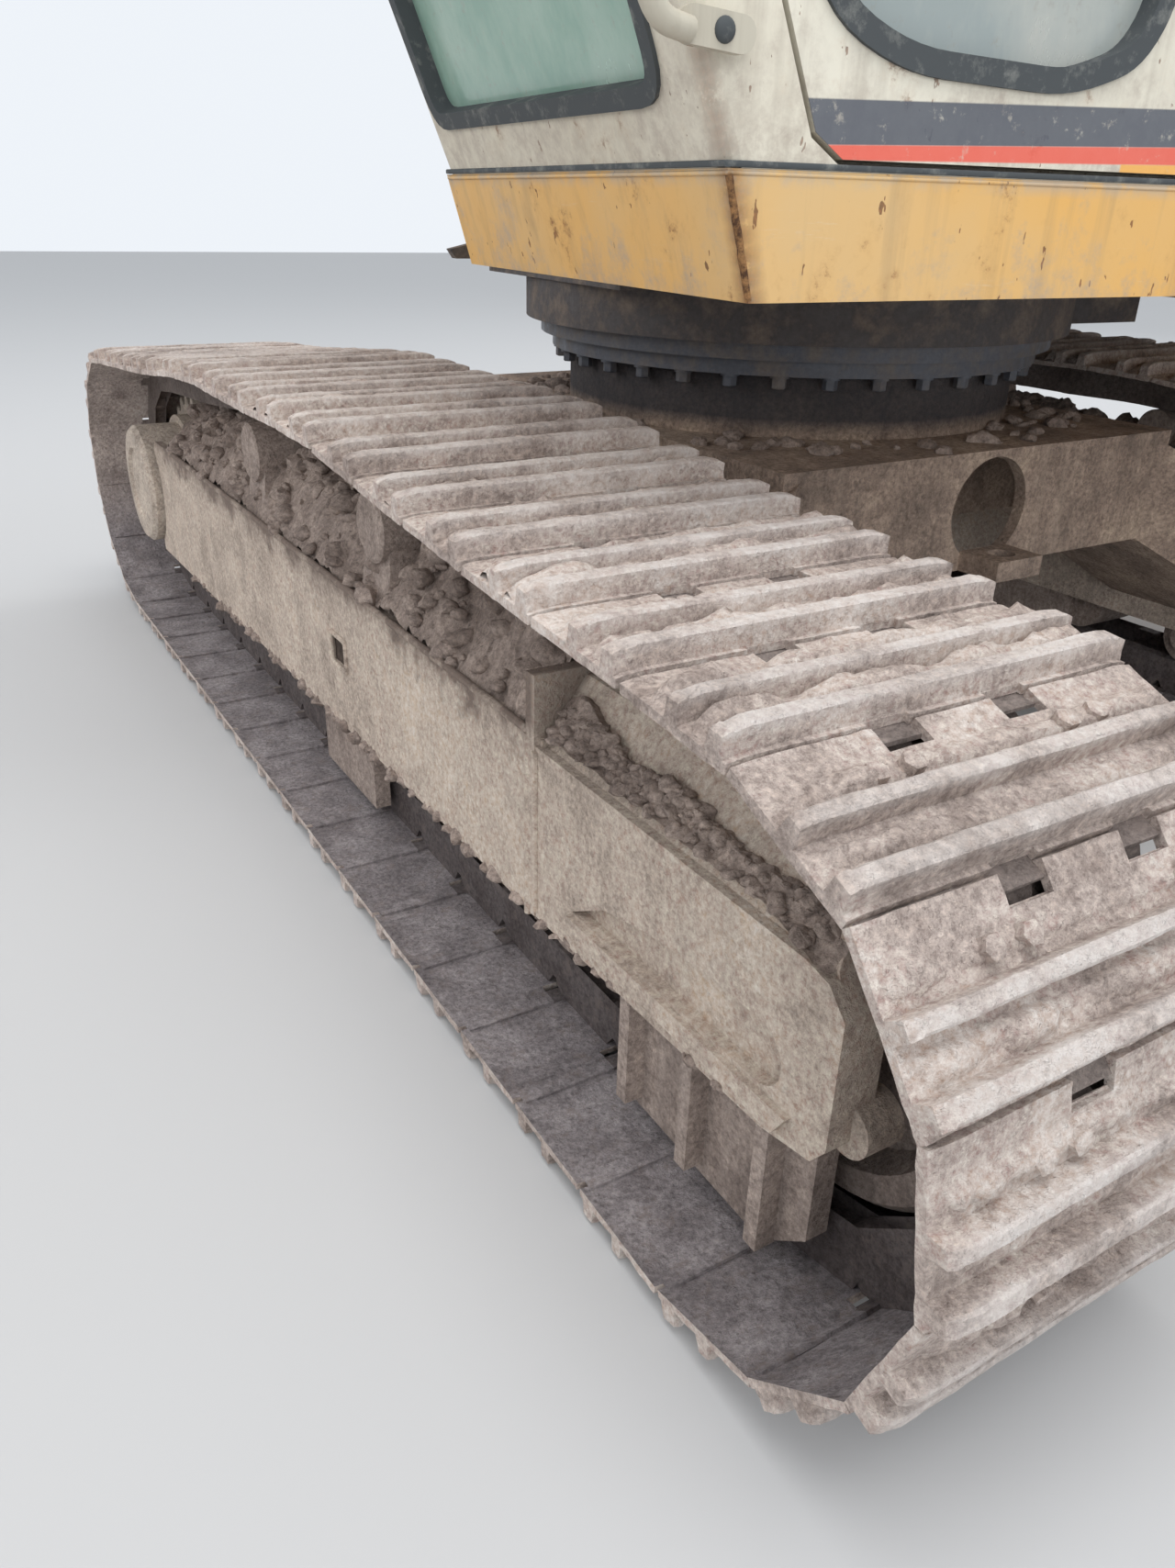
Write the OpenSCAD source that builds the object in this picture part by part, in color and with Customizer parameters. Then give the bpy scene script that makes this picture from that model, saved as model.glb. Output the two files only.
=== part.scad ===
/* [Undercarriage] */
// Centre distance of idler and sprocket
tumbler_distance = 3275; // [3100:25:3700]
// Distance between the middles of the two tracks
track_gauge = 2300; // [2200:10:2400]
// Width of the shoes
shoe_width = 600; // [500:50:700]
// Number of shoes on each track
shoe_count = 45; // [43:1:49]
// Height of the idler and sprocket centres above the ground
tumbler_height = 435; // [425:5:450]
// Radius of the shoe plates' edges around idler and sprocket
track_radius = 405; // [395:1:410]
// Height of the shoe plates over the carrier rollers
top_run_height = 940; // [920:5:955]
// Height of each of the three lugs on a shoe
lug_height = 30; // [20:1:35]
// Number of track rollers on each side
roller_count = 7; // [6:1:8]
// Direction of the tracks, counted from the boom's
track_heading = 94; // [80:1:100]

/* [Upper structure] */
// Distance from the swing axis to the tail
tail_radius = 2750; // [2650:10:2900]
// Distance from the middle of the machine to its left side
left_side = 1300; // [1290:5:1350]
// Distance from the middle of the machine to its right side
right_side = 1300; // [1260:5:1350]
// Height of the deck above the tracks' top run
deck_rise = 410; // [400:5:450]
// Height of the band around the deck
band_height = 150; // [130:5:160]
// Distance from the swing axis to the cab's front at the deck
cab_front = 1060; // [1000:10:1100]
// Width of the cab
cab_width = 945; // [900:5:945]
// Distance from the swing axis to the front of the right deck
right_front = 420; // [360:10:420]
// Height of the cab's roof above the deck
cab_height = 1600; // [1510:10:1700]

/* [Front] */
// Distance between the boom's two end pins
boom_length = 5680; // [5400:20:5900]
// Width of the boom's box
boom_width = 380; // [340:10:400]
// Distance between the stick's boom pin and bucket pin
stick_length = 2920; // [2900:5:2940]
// Width of the stick's box
stick_width = 290; // [260:5:296]
// Distance from the bucket's pin to the teeth's tips
bucket_reach = 1480; // [1420:10:1520]
// Width of the bucket over its side plates
bucket_width = 1050; // [900:10:1150]
// Direction of the stick at rest, counted from straight ahead
stick_heading = -97; // [-99:1:-95]

/* [Hidden] */
$fn = 40;
fit = 0.05;
seat = 0.3;

yellow = [0.85, 0.58, 0.12];
cream = [0.80, 0.78, 0.68];
dark = [0.16, 0.15, 0.14];
mud = [0.55, 0.50, 0.42];
steel = [0.62, 0.62, 0.62];
glass = [0.45, 0.55, 0.50, 0.4];

// Heights and distances that several parts share
half_base = tumbler_distance / 2;
tumbler_z = tumbler_height;
plate_t = 12;
chain_depth = 100;
chain_width = 200;
tread_radius = track_radius - 130;
frame_in = track_gauge / 2 - 160;
frame_out = track_gauge / 2 + 190;
frame_low = tumbler_z - 185;
frame_high = top_run_height - 340;
frame_top = top_run_height - 280;
carrier_x = 400;
body_top = top_run_height - 90;
drum_top = top_run_height + 45;
race_z = top_run_height + 115;
floor_z = top_run_height + 210;
deck_top = top_run_height + deck_rise;
cab_roof = deck_top + cab_height;
rail_low = floor_z + 30;
rail_in = 322;
rail_out = 352;
deck_low = deck_top - band_height;
engine_floor = deck_low + 130;
band_lean = 45;
cab_in = left_side - cab_width;
cab_back = cab_front - 1840;
wall = 55;

// Pins of the front linkage, as seen from the right side with x ahead
boom_foot = [80, deck_top + 400];
boom_cyl_foot = [600, deck_top - 50];
stick_len_v = turn([stick_length, 0], stick_heading);
bucket_turn = -126.9;
bucket_drop = bucket_reach * sin(-bucket_turn) + 16;
boom_tip_z = bucket_drop - stick_len_v[1];
boom_turn = asin((boom_tip_z - boom_foot[1]) / boom_length);
stick_pin = boom_foot + turn([boom_length, 0], boom_turn);
bucket_pin = stick_pin + stick_len_v;
boom_eye = [2350, 800];
stick_cyl_foot = [3000, 1380];
stick_eye = [-720, 300];
bucket_cyl_foot = [300, 550];
rocker_pin = [stick_length - 420, 20];
rocker_len = 600;
link_len = 560;
ear_pin = 420 * [cos(86), sin(86)];

// Where the rocker's upper pin stands at rest, from the two circles that meet there
ear_now = bucket_pin + turn(ear_pin, bucket_turn);
rocker_now = stick_pin + turn(rocker_pin, stick_heading);
rocker_gap = norm(ear_now - rocker_now);
rocker_open = acos((rocker_len ^ 2 + rocker_gap ^ 2 - link_len ^ 2) / (2 * rocker_len * rocker_gap));
rocker_turn = heading(ear_now - rocker_now) + rocker_open;
link_pin = rocker_now + turn([rocker_len, 0], rocker_turn);
boom_eye_now = boom_foot + turn(boom_eye, boom_turn);
stick_foot_now = boom_foot + turn(stick_cyl_foot, boom_turn);
stick_eye_now = stick_pin + turn(stick_eye, stick_heading);
bucket_foot_now = stick_pin + turn(bucket_cyl_foot, stick_heading);

// The whole machine is set so that its middle lies over the origin
reach_ahead = bucket_foot_now[0] + 90;
middle_x = (reach_ahead - tail_radius) / 2;

function turn(p, a) = [p[0] * cos(a) - p[1] * sin(a), p[0] * sin(a) + p[1] * cos(a)];
function heading(v) = atan2(v[1], v[0]);

// Shapes used all over the machine
module place() {
    translate([-middle_x, 0, 0]) children();
}
module box(x, y, z) {
    translate([x[0], y[0], z[0]]) cube([x[1] - x[0], y[1] - y[0], z[1] - z[0]]);
}
module side(points, y) {
    translate([0, y[1], 0]) rotate([90, 0, 0]) linear_extrude(y[1] - y[0]) polygon(points);
}
module across(p, r, y) {
    translate([p[0], y[1], p[1]]) rotate([90, 0, 0]) cylinder(r = r, h = y[1] - y[0]);
}
module both() {
    children();
    mirror([0, 1, 0]) children();
}
module at_pin(p, a) {
    translate([p[0], 0, p[1]]) rotate([0, -a, 0]) children();
}
module on_tracks() {
    place() rotate([0, 0, track_heading]) children();
}
module rod_along(a, b, r) {
    d = b - a;
    translate(a) rotate([0, acos(d[2] / norm(d)), atan2(d[1], d[0])]) cylinder(r = r, h = norm(d));
}

// The track's path: the outer faces of the shoe plates, seen from the side
arc_steps = 12;
front_arc = [for (i = [0 : arc_steps]) let (a = -90 + 178 * i / arc_steps)
    [half_base + track_radius * cos(a), tumbler_z + track_radius * sin(a)]];
back_arc = [for (i = [0 : arc_steps]) let (a = 92 + 178 * i / arc_steps)
    [-half_base + track_radius * cos(a), tumbler_z + track_radius * sin(a)]];
run_end = front_arc[arc_steps];
run_mid = (run_end + [carrier_x, top_run_height]) / 2 - [0, 10];
top_run = [run_mid, [carrier_x, top_run_height], [0, top_run_height - 7], [-carrier_x, top_run_height],
    [-run_mid[0], run_mid[1]]];
path = concat(front_arc, top_run, back_arc);
path_n = len(path);
path_run = [for (i = 0, s = 0; i <= path_n; s = s + norm(path[(i + 1) % path_n] - path[i % path_n]),
    i = i + 1) s];
path_x = [for (i = [0 : path_n]) [path_run[i], path[i % path_n][0]]];
path_z = [for (i = [0 : path_n]) [path_run[i], path[i % path_n][1]]];
path_len = path_run[path_n];
function on_path(s) = let (t = s < 0 ? s + path_len : s > path_len ? s - path_len : s)
    [lookup(t, path_x), lookup(t, path_z)];
function shoe_edge(i) = on_path(path_len * (i % shoe_count) / shoe_count);
function shoe_dir(i) = let (d = shoe_edge(i + 1) - shoe_edge(i)) d / norm(d);
function out_of(d) = [d[1], -d[0]];
function edge_out(i) = let (d = shoe_dir(i) + shoe_dir(i + shoe_count - 1)) out_of(d / norm(d));

// One shoe: along its chord, the start and end of each lug's foot and crest
lug_foot = [[0.06, 0.20], [0.44, 0.56], [0.80, 0.94]];
lug_slope = 0.02;
function shoe_line(i) = let (p = shoe_edge(i), d = shoe_edge(i + 1) - p,
    o = out_of(shoe_dir(i)) * lug_height)
    concat([p], [for (l = lug_foot) each
        [p + d * l[0], p + d * (l[0] + lug_slope) + o, p + d * (l[1] - lug_slope) + o, p + d * l[1]]]);
shoe_outline = [for (i = [0 : shoe_count - 1]) each shoe_line(i)];
function inner_line(t) = [for (i = [0 : shoe_count - 1]) shoe_edge(i) - edge_out(i) * t];

module track(side_sign) {
    y = side_sign * track_gauge / 2;
    side_ring(shoe_outline, inner_line(plate_t), y, shoe_width);
    side_ring(inner_line(plate_t - 2), inner_line(plate_t + chain_depth), y, chain_width);
}
module side_ring(outer, inner, y, width) {
    translate([0, y + width / 2, 0]) rotate([90, 0, 0]) linear_extrude(width) difference() {
        polygon(outer);
        polygon(inner);
    }
}

module track_right() {
    color(mud) on_tracks() track(-1);
}
module track_left() {
    color(mud) on_tracks() track(1);
}

// A side frame: box with a slanted top, outer plate, pressed cover and bearing yokes
frame_back = -half_base + 300;
plate_back = -half_base + 110;
recoil_x = 1090;
cover_x = 1110;
cover_front = half_base + 155;
idler_gap = 90;
drive_r = 188;
motor_r = 150;
roller_r = 78;
roller_z = lug_height + plate_t + chain_depth + roller_r + seat;
carrier_r = 55;
carrier_z = top_run_height - plate_t - chain_depth - carrier_r - 6;
plate_low = frame_low - 15;
tie_slot = [170, 262];
cover_low = frame_low + 38;
rim_z = frame_low + 112;
ledge_z = frame_low + 338;
cover_line = [[cover_x, cover_low], [cover_front - 110, cover_low + 28],
    [cover_front - 22, cover_low + 48],
    [cover_front, cover_low + 80], [cover_front, ledge_z - 40], [cover_front - 30, ledge_z - 8],
    [cover_front - 70, ledge_z], [cover_x, ledge_z]];
slope_line = [[recoil_x - 20, ledge_z - 40], [cover_front - 10, ledge_z - 40],
    [cover_front - 30, ledge_z - 8],
    [cover_front - 60, ledge_z + 60], [cover_front - 110, ledge_z + 100], [recoil_x - 20, ledge_z + 100]];
// Long hollow above the cover's lower rim: straight below, bowed above, round at its front end
hollow_x = [cover_x + 115, cover_front - 130];
hollow_line = concat([[hollow_x[0], rim_z]], [for (a = [-80 : 20 : 80])
    [hollow_x[1] + 45 * cos(a), rim_z + 58 + 45 * sin(a)]], [for (t = [0.2 : 0.2 : 0.8])
    [hollow_x[1] - t * (hollow_x[1] - hollow_x[0]), rim_z + 103 - 78 * t * t]]);
function cover_bottom(x) = lookup(x, [for (k = [0 : 2]) cover_line[k]]);
module front(points, x) {
    translate([x[0], 0, 0]) rotate([90, 0, 90]) linear_extrude(x[1] - x[0]) polygon(points);
}
module track_frame(s) {
    scale([1, s, 1]) {
        front([[frame_in, frame_low], [frame_out - 20, frame_low], [frame_out - 20, frame_high - 10],
            [frame_out - 90, frame_top], [frame_in + 90, frame_top], [frame_in, frame_high]],
            [frame_back, recoil_x]);
        difference() {
            side([[plate_back, plate_low], [cover_x + 10, cover_low - 5], [cover_x + 10, frame_high],
                [plate_back + 70, frame_high], [plate_back, frame_high - 60]],
                [frame_out - 21, frame_out]);
            across([-half_base, tumbler_z], drive_r + 12, [frame_out - 22, frame_out + 1]);
            box(tie_slot, [frame_out - 12, frame_out + 1], [frame_low + 160, frame_low + 222]);
        }
        box([cover_x - 26, cover_x], [frame_out - 105, frame_out + 8], [cover_low, ledge_z + 112]);
        difference() {
            side([[-half_base, tumbler_z - 190], [frame_back, frame_low], [frame_back, frame_high],
                [-half_base, tumbler_z + 190], [-half_base - 150, tumbler_z + 120],
                [-half_base - 150, tumbler_z - 120]],
                [frame_in, frame_in + 45]);
            across([-half_base, tumbler_z], motor_r + seat, [frame_in - 1, frame_in + 46]);
        }
        difference() {
            union() {
                side(cover_line, [frame_out - 60, frame_out + 6]);
                side([[hollow_x[0] - 20, rim_z - 34], [hollow_x[1] + 50, rim_z - 26],
                    [hollow_x[1] + 70, rim_z + 8],
                    [hollow_x[0], rim_z - 4]], [frame_out - 1, frame_out + 16]);
                intersection() {
                    front([[frame_out - 105, ledge_z - 40], [frame_out - 10, ledge_z - 40],
                        [frame_out - 10, ledge_z],
                        [frame_out - 80, ledge_z + 100], [frame_out - 105, ledge_z + 100]],
                        [recoil_x - 20, cover_front]);
                    side(slope_line, [frame_in, frame_out]);
                }
            }
            side(hollow_line, [frame_out - 14, frame_out + 20]);
        }
        side([[recoil_x - 1, cover_low - 1], [cover_x, cover_low], [cover_front - 110, cover_low + 28],
            [cover_front - 22, cover_low + 48], [cover_front, cover_low + 80], [cover_front, 510],
            [cover_front - 30, 545], [recoil_x - 1, 560]], [frame_in, frame_in + 45]);
        for (y = [[frame_out - 60 - 50, frame_out - 59], [frame_in + 44, frame_in + idler_gap - 10]])
            across([half_base, tumbler_z], 95, y);
        across([cover_front - 10, cover_low + 92], 38, [frame_out - 85, frame_out - 30]);
        for (x = [-carrier_x, carrier_x]) {
            box([x - 45, x + 45], [frame_out - 175, frame_out - 65], [frame_top - 30, carrier_z]);
            across([x, carrier_z], 45, [frame_out - 175, frame_out - 65]);
        }
    }
}
module track_frame_right() {
    color(mud) on_tracks() track_frame(-1);
}
module track_frame_left() {
    color(mud) on_tracks() track_frame(1);
}

// Idler wheels, dished between hub and rim, with their axles between the frame's bearing blocks
wheel_half = [[0, -75], [92, -75], [100, -38], [tread_radius - 65, -30], [tread_radius - 50, -75],
    [tread_radius - 12, -75], [tread_radius, -62]];
wheel_line = concat(wheel_half,
    [for (k = [len(wheel_half) - 1 : -1 : 0]) [wheel_half[k][0], -wheel_half[k][1]]]);
module idlers() {
    color(mud) on_tracks() for (s = [-1, 1]) scale([1, s, 1]) {
        y = track_gauge / 2;
        translate([half_base, y, tumbler_z]) rotate([90, 0, 0]) rotate_extrude() polygon(wheel_line);
        across([half_base, tumbler_z], 60, [frame_in + idler_gap - 10 + seat, frame_out - 110 - seat]);
    }
}

// Sprocket, gear case and motor on each side
teeth = 21;
sprocket_line = [for (i = [0 : teeth - 1], k = [[0, -30], [0.34, -30], [0.5, 0], [0.84, 0]])
    let (a = 360 * (i + k[0]) / teeth, r = tread_radius + k[1]) [r * cos(a), r * sin(a)]];
module final_drives() {
    color(mud) on_tracks() for (s = [-1, 1]) scale([1, s, 1]) {
        y = track_gauge / 2;
        p = [-half_base, tumbler_z];
        translate([-half_base, y + 30, tumbler_z]) rotate([90, 0, 0]) linear_extrude(60)
            polygon(sprocket_line);
        across(p, drive_r + 24, [y + 29, y + 75]);
        translate([-half_base, y + 74, tumbler_z]) rotate([-90, 0, 0]) rotate_extrude()
            polygon([[0, 0], [drive_r, 0],
            [drive_r, 138], [drive_r - 14, 152], [drive_r - 70, 156], [drive_r - 78, 146], [0, 146]]);
        across(p, motor_r, [y - 330, y - 29]);
    }
}

module track_rollers() {
    color(mud) on_tracks() for (s = [-1, 1]) scale([1, s, 1]) {
        y = track_gauge / 2;
        span = recoil_x - 60 - (frame_back + 120);
        for (i = [0 : roller_count - 1]) {
            x = frame_back + 120 + span * i / (roller_count - 1);
            difference() {
                union() {
                    across([x, roller_z], roller_r, [y - 95, y + 95]);
                    across([x, roller_z], 45, [y - 112, y + 112]);
                }
                box([x - 100, x + 100], [y - 200, y + 200], [frame_low - seat, frame_low + 200]);
            }
        }
    }
}

module carrier_rollers() {
    color(mud) on_tracks() for (s = [-1, 1], x = [-carrier_x, carrier_x]) scale([1, s, 1])
        across([x, carrier_z], carrier_r, [track_gauge / 2 - 110, frame_out - 175 - seat]);
}

// Guards that keep the chain on its rollers, the front ones with ribs up to the frame
guard_y = [track_gauge / 2 + 115, track_gauge / 2 + 150];
mid_guard = [-50, 270];
front_guard = [1335, 1740];
module roller_guards() {
    color(mud) on_tracks() for (s = [-1, 1], t = [0, 1]) scale([1, s, 1])
        translate([0, t * track_gauge, 0])
        scale([1, t == 1 ? -1 : 1, 1]) {
            box(mid_guard, guard_y, [75, frame_low - seat]);
            side([[front_guard[0], 75], [front_guard[1] - 80, 75], [front_guard[1], 150],
                for (x = [front_guard[1], cover_front - 110, front_guard[0]])
                    [x, cover_bottom(x) - seat]], guard_y);
            for (x = [10, 165, 325]) box([front_guard[0] + x, front_guard[0] + x + 25],
                [guard_y[1] - 1, guard_y[1] + 32],
                [95, cover_bottom(front_guard[0] + x) - seat]);
        }
}

// Middle of the undercarriage: box with a drum for the bearing and four legs that fall to the side frames
box_x = 740;
box_y = 600;
leg_plan = [[260, box_y - 40], [box_x, box_y - 40], [box_x + 150, frame_in - 200],
    [box_x + 250, frame_in], [420, frame_in]];
leg_drop = [[box_y - 60, body_top - 250], [box_y - 60, body_top - 10], [frame_in, frame_high - 5],
    [frame_in, frame_low + 60]];
drum_r = 565;
tow_eye_r = 30;
tow_z = [body_top - 259, body_top - 215];
module carbody() {
    color(mud) on_tracks() {
        difference() {
            union() {
                box([-box_x, box_x], [-box_y, box_y], [body_top - 260, body_top]);
                translate([0, 0, body_top - 1]) cylinder(r = drum_r, h = drum_top - body_top + 1);
                for (a = [-1, 1], b = [-1, 1]) scale([a, b, 1]) intersection() {
                    linear_extrude(2000) polygon(leg_plan);
                    front(leg_drop, [0, 1200]);
                }
            }
            translate([0, 0, body_top - 261]) cylinder(r = 330, h = drum_top);
            for (a = [-1, 1]) rotate([0, a * 90, 0]) translate([-a * (body_top - 130), 0, 250])
                cylinder(r = 115, h = 600);
            for (a = [-1, 1]) scale([a, 1, 1])
                box([360, box_x - 30], [-box_y + 60, box_y - 60], [body_top - 261, body_top - 30]);
        }
        for (a = [-1, 1]) scale([a, 1, 1]) difference() {
            box([box_x - 1, box_x + 110], [-70, 70], tow_z);
            translate([box_x + 55, 0, tow_z[0] - 1]) cylinder(r = tow_eye_r, h = 50);
        }
    }
}

bearing_r = [612, 642, 500];
module swing_bearing() {
    color(dark) place() difference() {
        union() {
            translate([0, 0, drum_top + seat]) cylinder(r = bearing_r[0], h = 40, $fn = 60);
            translate([0, 0, drum_top + 35])
                cylinder(r = bearing_r[1], h = race_z - drum_top - 35, $fn = 60);
        }
        translate([0, 0, drum_top - 1]) cylinder(r = bearing_r[2], h = 100, $fn = 60);
    }
}

// Round skirt on the bearing, bottom plate, two rails with the boom's brackets, and outriggers
skirt_r = 680;
module revolving_frame() {
    color(dark) place() {
        difference() {
            union() {
                box([-2080, 690], [-rail_out, rail_out], [floor_z, rail_low]);
                translate([0, 0, race_z + seat])
                    cylinder(r = skirt_r, h = rail_low - race_z - seat, $fn = 60);
                box([-skirt_r - 60, -300], [-450, 450], [floor_z - 80, rail_low]);
                both() side([[-2080, rail_low - 1], [790, rail_low - 1], [805, rail_low + 20],
                    boom_cyl_foot + [95, -75],
                    boom_cyl_foot + [92, 0], boom_cyl_foot + [65, 65], boom_cyl_foot + [0, 95],
                    boom_cyl_foot + [-60, 120], boom_foot + [250, 80], boom_foot + [150, 130],
                    boom_foot + [-140, 130],
                    [boom_foot[0] - 340, deck_top + 250], [-700, engine_floor], [-2080, engine_floor]],
                    [rail_in, rail_out]);
                both() side([boom_cyl_foot + [-100, rail_low - 1 - boom_cyl_foot[1]],
                    boom_cyl_foot + [100, rail_low - 1 - boom_cyl_foot[1]], boom_cyl_foot + [80, 30],
                    boom_cyl_foot + [40, 90], boom_cyl_foot + [-40, 90], boom_cyl_foot + [-80, 30]],
                    [198, 228]);
            }
            translate([0, 0, race_z - 1]) cylinder(r = bearing_r[2], h = floor_z - race_z + 1, $fn = 60);
            translate([0, 0, floor_z - 1]) cylinder(r = 160, h = 50);
        }
        across(boom_foot, 45, [-rail_out, rail_out]);
        both() across(boom_cyl_foot, 40, [227, rail_in + 1]);
        for (s = [-1, 1], x = s > 0 ? [-560, -60, 560] : [-560, -60]) scale([1, s, 1])
            box([x, x + 100], [rail_out - 1, rail_out + 480], [deck_low - 40, deck_low - seat]);
    }
}

// Side decks: a top plate and a band around each, leaning outwards at the front
module deck_side(y0, y1, x0, x1) {
    difference() {
        side([[x0, deck_low], [x1 - band_lean, deck_low], [x1, deck_top], [x0, deck_top]], [y0, y1]);
        box([x0 + 14, x1 - 14 - band_lean], [y0 + 14, y1 - 14], [deck_low - 1, deck_top - 14]);
    }
    for (x = [x0 + 120, (x0 + x1) / 2, x1 - 200])
        box([x, x + 90], [y0 + 13, y1 - 13], [deck_low, deck_top - 13]);
}
module deck_plates() {
    color(yellow) place() {
        deck_side(rail_out + seat, left_side, cab_back - 40, cab_front);
        deck_side(-right_side, -rail_out - seat, cab_back - 40, right_front);
        both() box([weight_front + 50, cab_back - 40 + 14], [rail_out + seat, bay_y + 5],
            [deck_low, deck_low + 40]);
    }
}

// Cab: side profile of the shell, hollow inside, with its window openings cut
cab_knee = [cab_front + 170, deck_top + 410];
cab_profile = [[cab_back, deck_top + seat], [cab_front, deck_top + seat], cab_knee,
    [cab_front + 160, deck_top + 710],
    [cab_front - 230, cab_roof - 110], [cab_front - 330, cab_roof], [cab_back + 90, cab_roof],
    [cab_back, cab_roof - 90]];
cab_hollow = [[cab_back + wall, deck_top + 60], [cab_front - wall, deck_top + 60],
    [cab_knee[0] - wall, cab_knee[1]], [cab_front + 102, deck_top + 700],
    [cab_front - 275, cab_roof - 140],
    [cab_front - 350, cab_roof - 70], [cab_back + 110, cab_roof - 70], [cab_back + wall, cab_roof - 120]];
door_x = [cab_back + 720, cab_front - 118];
door_z = [deck_top + 8, cab_roof - 130];
cab_y = [cab_in, left_side];
door_y = [left_side - 48, left_side];
knee_x = cab_front + 48;
door_window = [[door_x[0] + 90, deck_top + 610], [door_x[1], deck_top + 610],
    [door_x[1] + 20, deck_top + 730],
    [door_x[1] - 200, door_z[1] - 70], [door_x[0] + 90, door_z[1] - 70]];
low_pane = [[door_x[0] + 440, deck_top + 210], [door_x[0] + 480, deck_top + 150],
    [door_x[0] + 590, deck_top + 115],
    [door_x[1] - 130, deck_top + 125], [door_x[1] - 10, deck_top + 175], [knee_x - 62, cab_knee[1] + 40],
    [door_x[0] + 440, cab_knee[1] + 40]];
door_line = [[door_x[0], door_z[0]], [door_x[1] - 45, door_z[0]], [door_x[1], door_z[0] + 28],
    [knee_x, cab_knee[1]], [knee_x - 10, deck_top + 720], [door_x[1] - 160, door_z[1]],
    [door_x[0], door_z[1]]];
rear_side_window = [[cab_back + 140, deck_top + 640], [door_x[0] - 90, deck_top + 640],
    [door_x[0] - 90, door_z[1] - 70],
    [cab_back + 140, door_z[1] - 70]];
right_window = [[cab_back + 140, deck_top + 550], [cab_front - 60, deck_top + 550],
    [cab_front - 30, deck_top + 700],
    [cab_front - 270, door_z[1] - 60], [cab_back + 140, door_z[1] - 60]];
low_window = [cab_in + 60, left_side - 110];
cab_hinge = [door_x[0] + 12, left_side + 14];
cab_hinges = [door_z[0] + 200, door_z[1] - 250];
module cab_shell() {
    color(cream) place() for (z = cab_hinges) {
        translate([cab_hinge[0], cab_hinge[1], z + 90 + seat]) cylinder(r = 14, h = 60);
        box([cab_hinge[0] - 40, cab_hinge[0]], [left_side, cab_hinge[1]], [z + 90 + seat, z + 150]);
    }
    color(cream) place() difference() {
        side(cab_profile, cab_y);
        side(cab_hollow, [cab_in + wall, left_side - wall]);
        side(door_line, [door_y[0] - 2, left_side + 1]);
        side([[door_x[0] + 30, deck_top + 75], [door_x[1] - 40, deck_top + 75],
            [knee_x - 45, cab_knee[1]],
            [knee_x - 45, deck_top + 710], [door_x[1] - 190, door_z[1] - 30],
            [door_x[0] + 30, door_z[1] - 30]],
            [left_side - 100, left_side]);
        side(rear_side_window, [left_side - 100, left_side + 1]);
        side(right_window, [cab_in - 1, cab_in + 100]);
        at_slope() box([-100, 100], low_window, low_glass);
        at_screen() box([-150, 150], [cab_in + 60, left_side - 60], [60, 850]);
        box([cab_back - 50, cab_back + 100], [cab_in + 130, left_side - 130],
            [deck_top + 600, cab_roof - 250]);
        box([cab_back + 500, cab_back + 1000], [cab_in + 200, left_side - 200],
            [cab_roof - 100, cab_roof + 20]);
        at_slope() soft_edge(norm(cab_knee - [cab_front, deck_top]) + 7);
        translate([cab_knee[0], 0, cab_knee[1]]) rotate([0, upright_turn, 0]) soft_edge(310);
        for (y = [[left_side, 1], [cab_in, -1]]) translate([0, y[0], cab_roof]) scale([1, y[1], 1])
            front(corner_cut, [cab_back - 10, cab_front]);
    }
}
// Rounds the cab's front corners on both sides
corner_r = 32;
corner_steps = 5;
corner_cut = concat([[20, -corner_r], [20, 20], [-corner_r, 20]], [for (i = [corner_steps : -1 : 0])
    let (a = 90 * i / corner_steps) [corner_r * (cos(a) - 1), corner_r * (sin(a) - 1)]]);
module soft_edge(h) {
    for (y = [[left_side, 1], [cab_in, -1]]) translate([0, y[0], -7]) scale([1, y[1], 1])
        linear_extrude(h + 7) polygon(corner_cut);
}
upright_turn = -atan2(10, deck_top + 710 - cab_knee[1]);
// Frames lying on the cab's lower front face and on its windscreen
low_glass = [90, 405];
slope_turn = atan2(cab_knee[0] - cab_front, cab_knee[1] - deck_top);
module at_slope() {
    translate([cab_front, 0, deck_top]) rotate([0, slope_turn, 0]) children();
}
screen_turn = -atan2(390, cab_roof - 110 - deck_top - 710);
module at_screen() {
    translate([cab_front + 160, 0, deck_top + 710]) rotate([0, screen_turn, 0]) children();
}
module cab_glass() {
    color(glass) place() {
        at_slope() box([-30, -24], pull(low_window), pull(low_glass));
        at_screen() box([-34, -28], pull([cab_in + 60, left_side - 60]), pull([60, 850]));
        side(inset(rear_side_window, seat), [left_side - 34, left_side - 28]);
        side(inset(right_window, seat), [cab_in + 28, cab_in + 34]);
        box([cab_back + 28, cab_back + 34], pull([cab_in + 130, left_side - 130]),
            pull([deck_top + 600, cab_roof - 250]));
        box(pull([cab_back + 500, cab_back + 1000]), pull([cab_in + 200, left_side - 200]),
            [cab_roof - 45, cab_roof - 35]);
    }
}
function pull(span) = [span[0] + seat, span[1] - seat];
function centre(p) = [for (k = [0, 1]) let (v = [for (q = p) q[k]]) (min(v) + max(v)) / 2];
function inset(p, t) = let (c = centre(p))
    [for (q = p) q + [sign(c[0] - q[0]) * t, sign(c[1] - q[1]) * t]];

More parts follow.
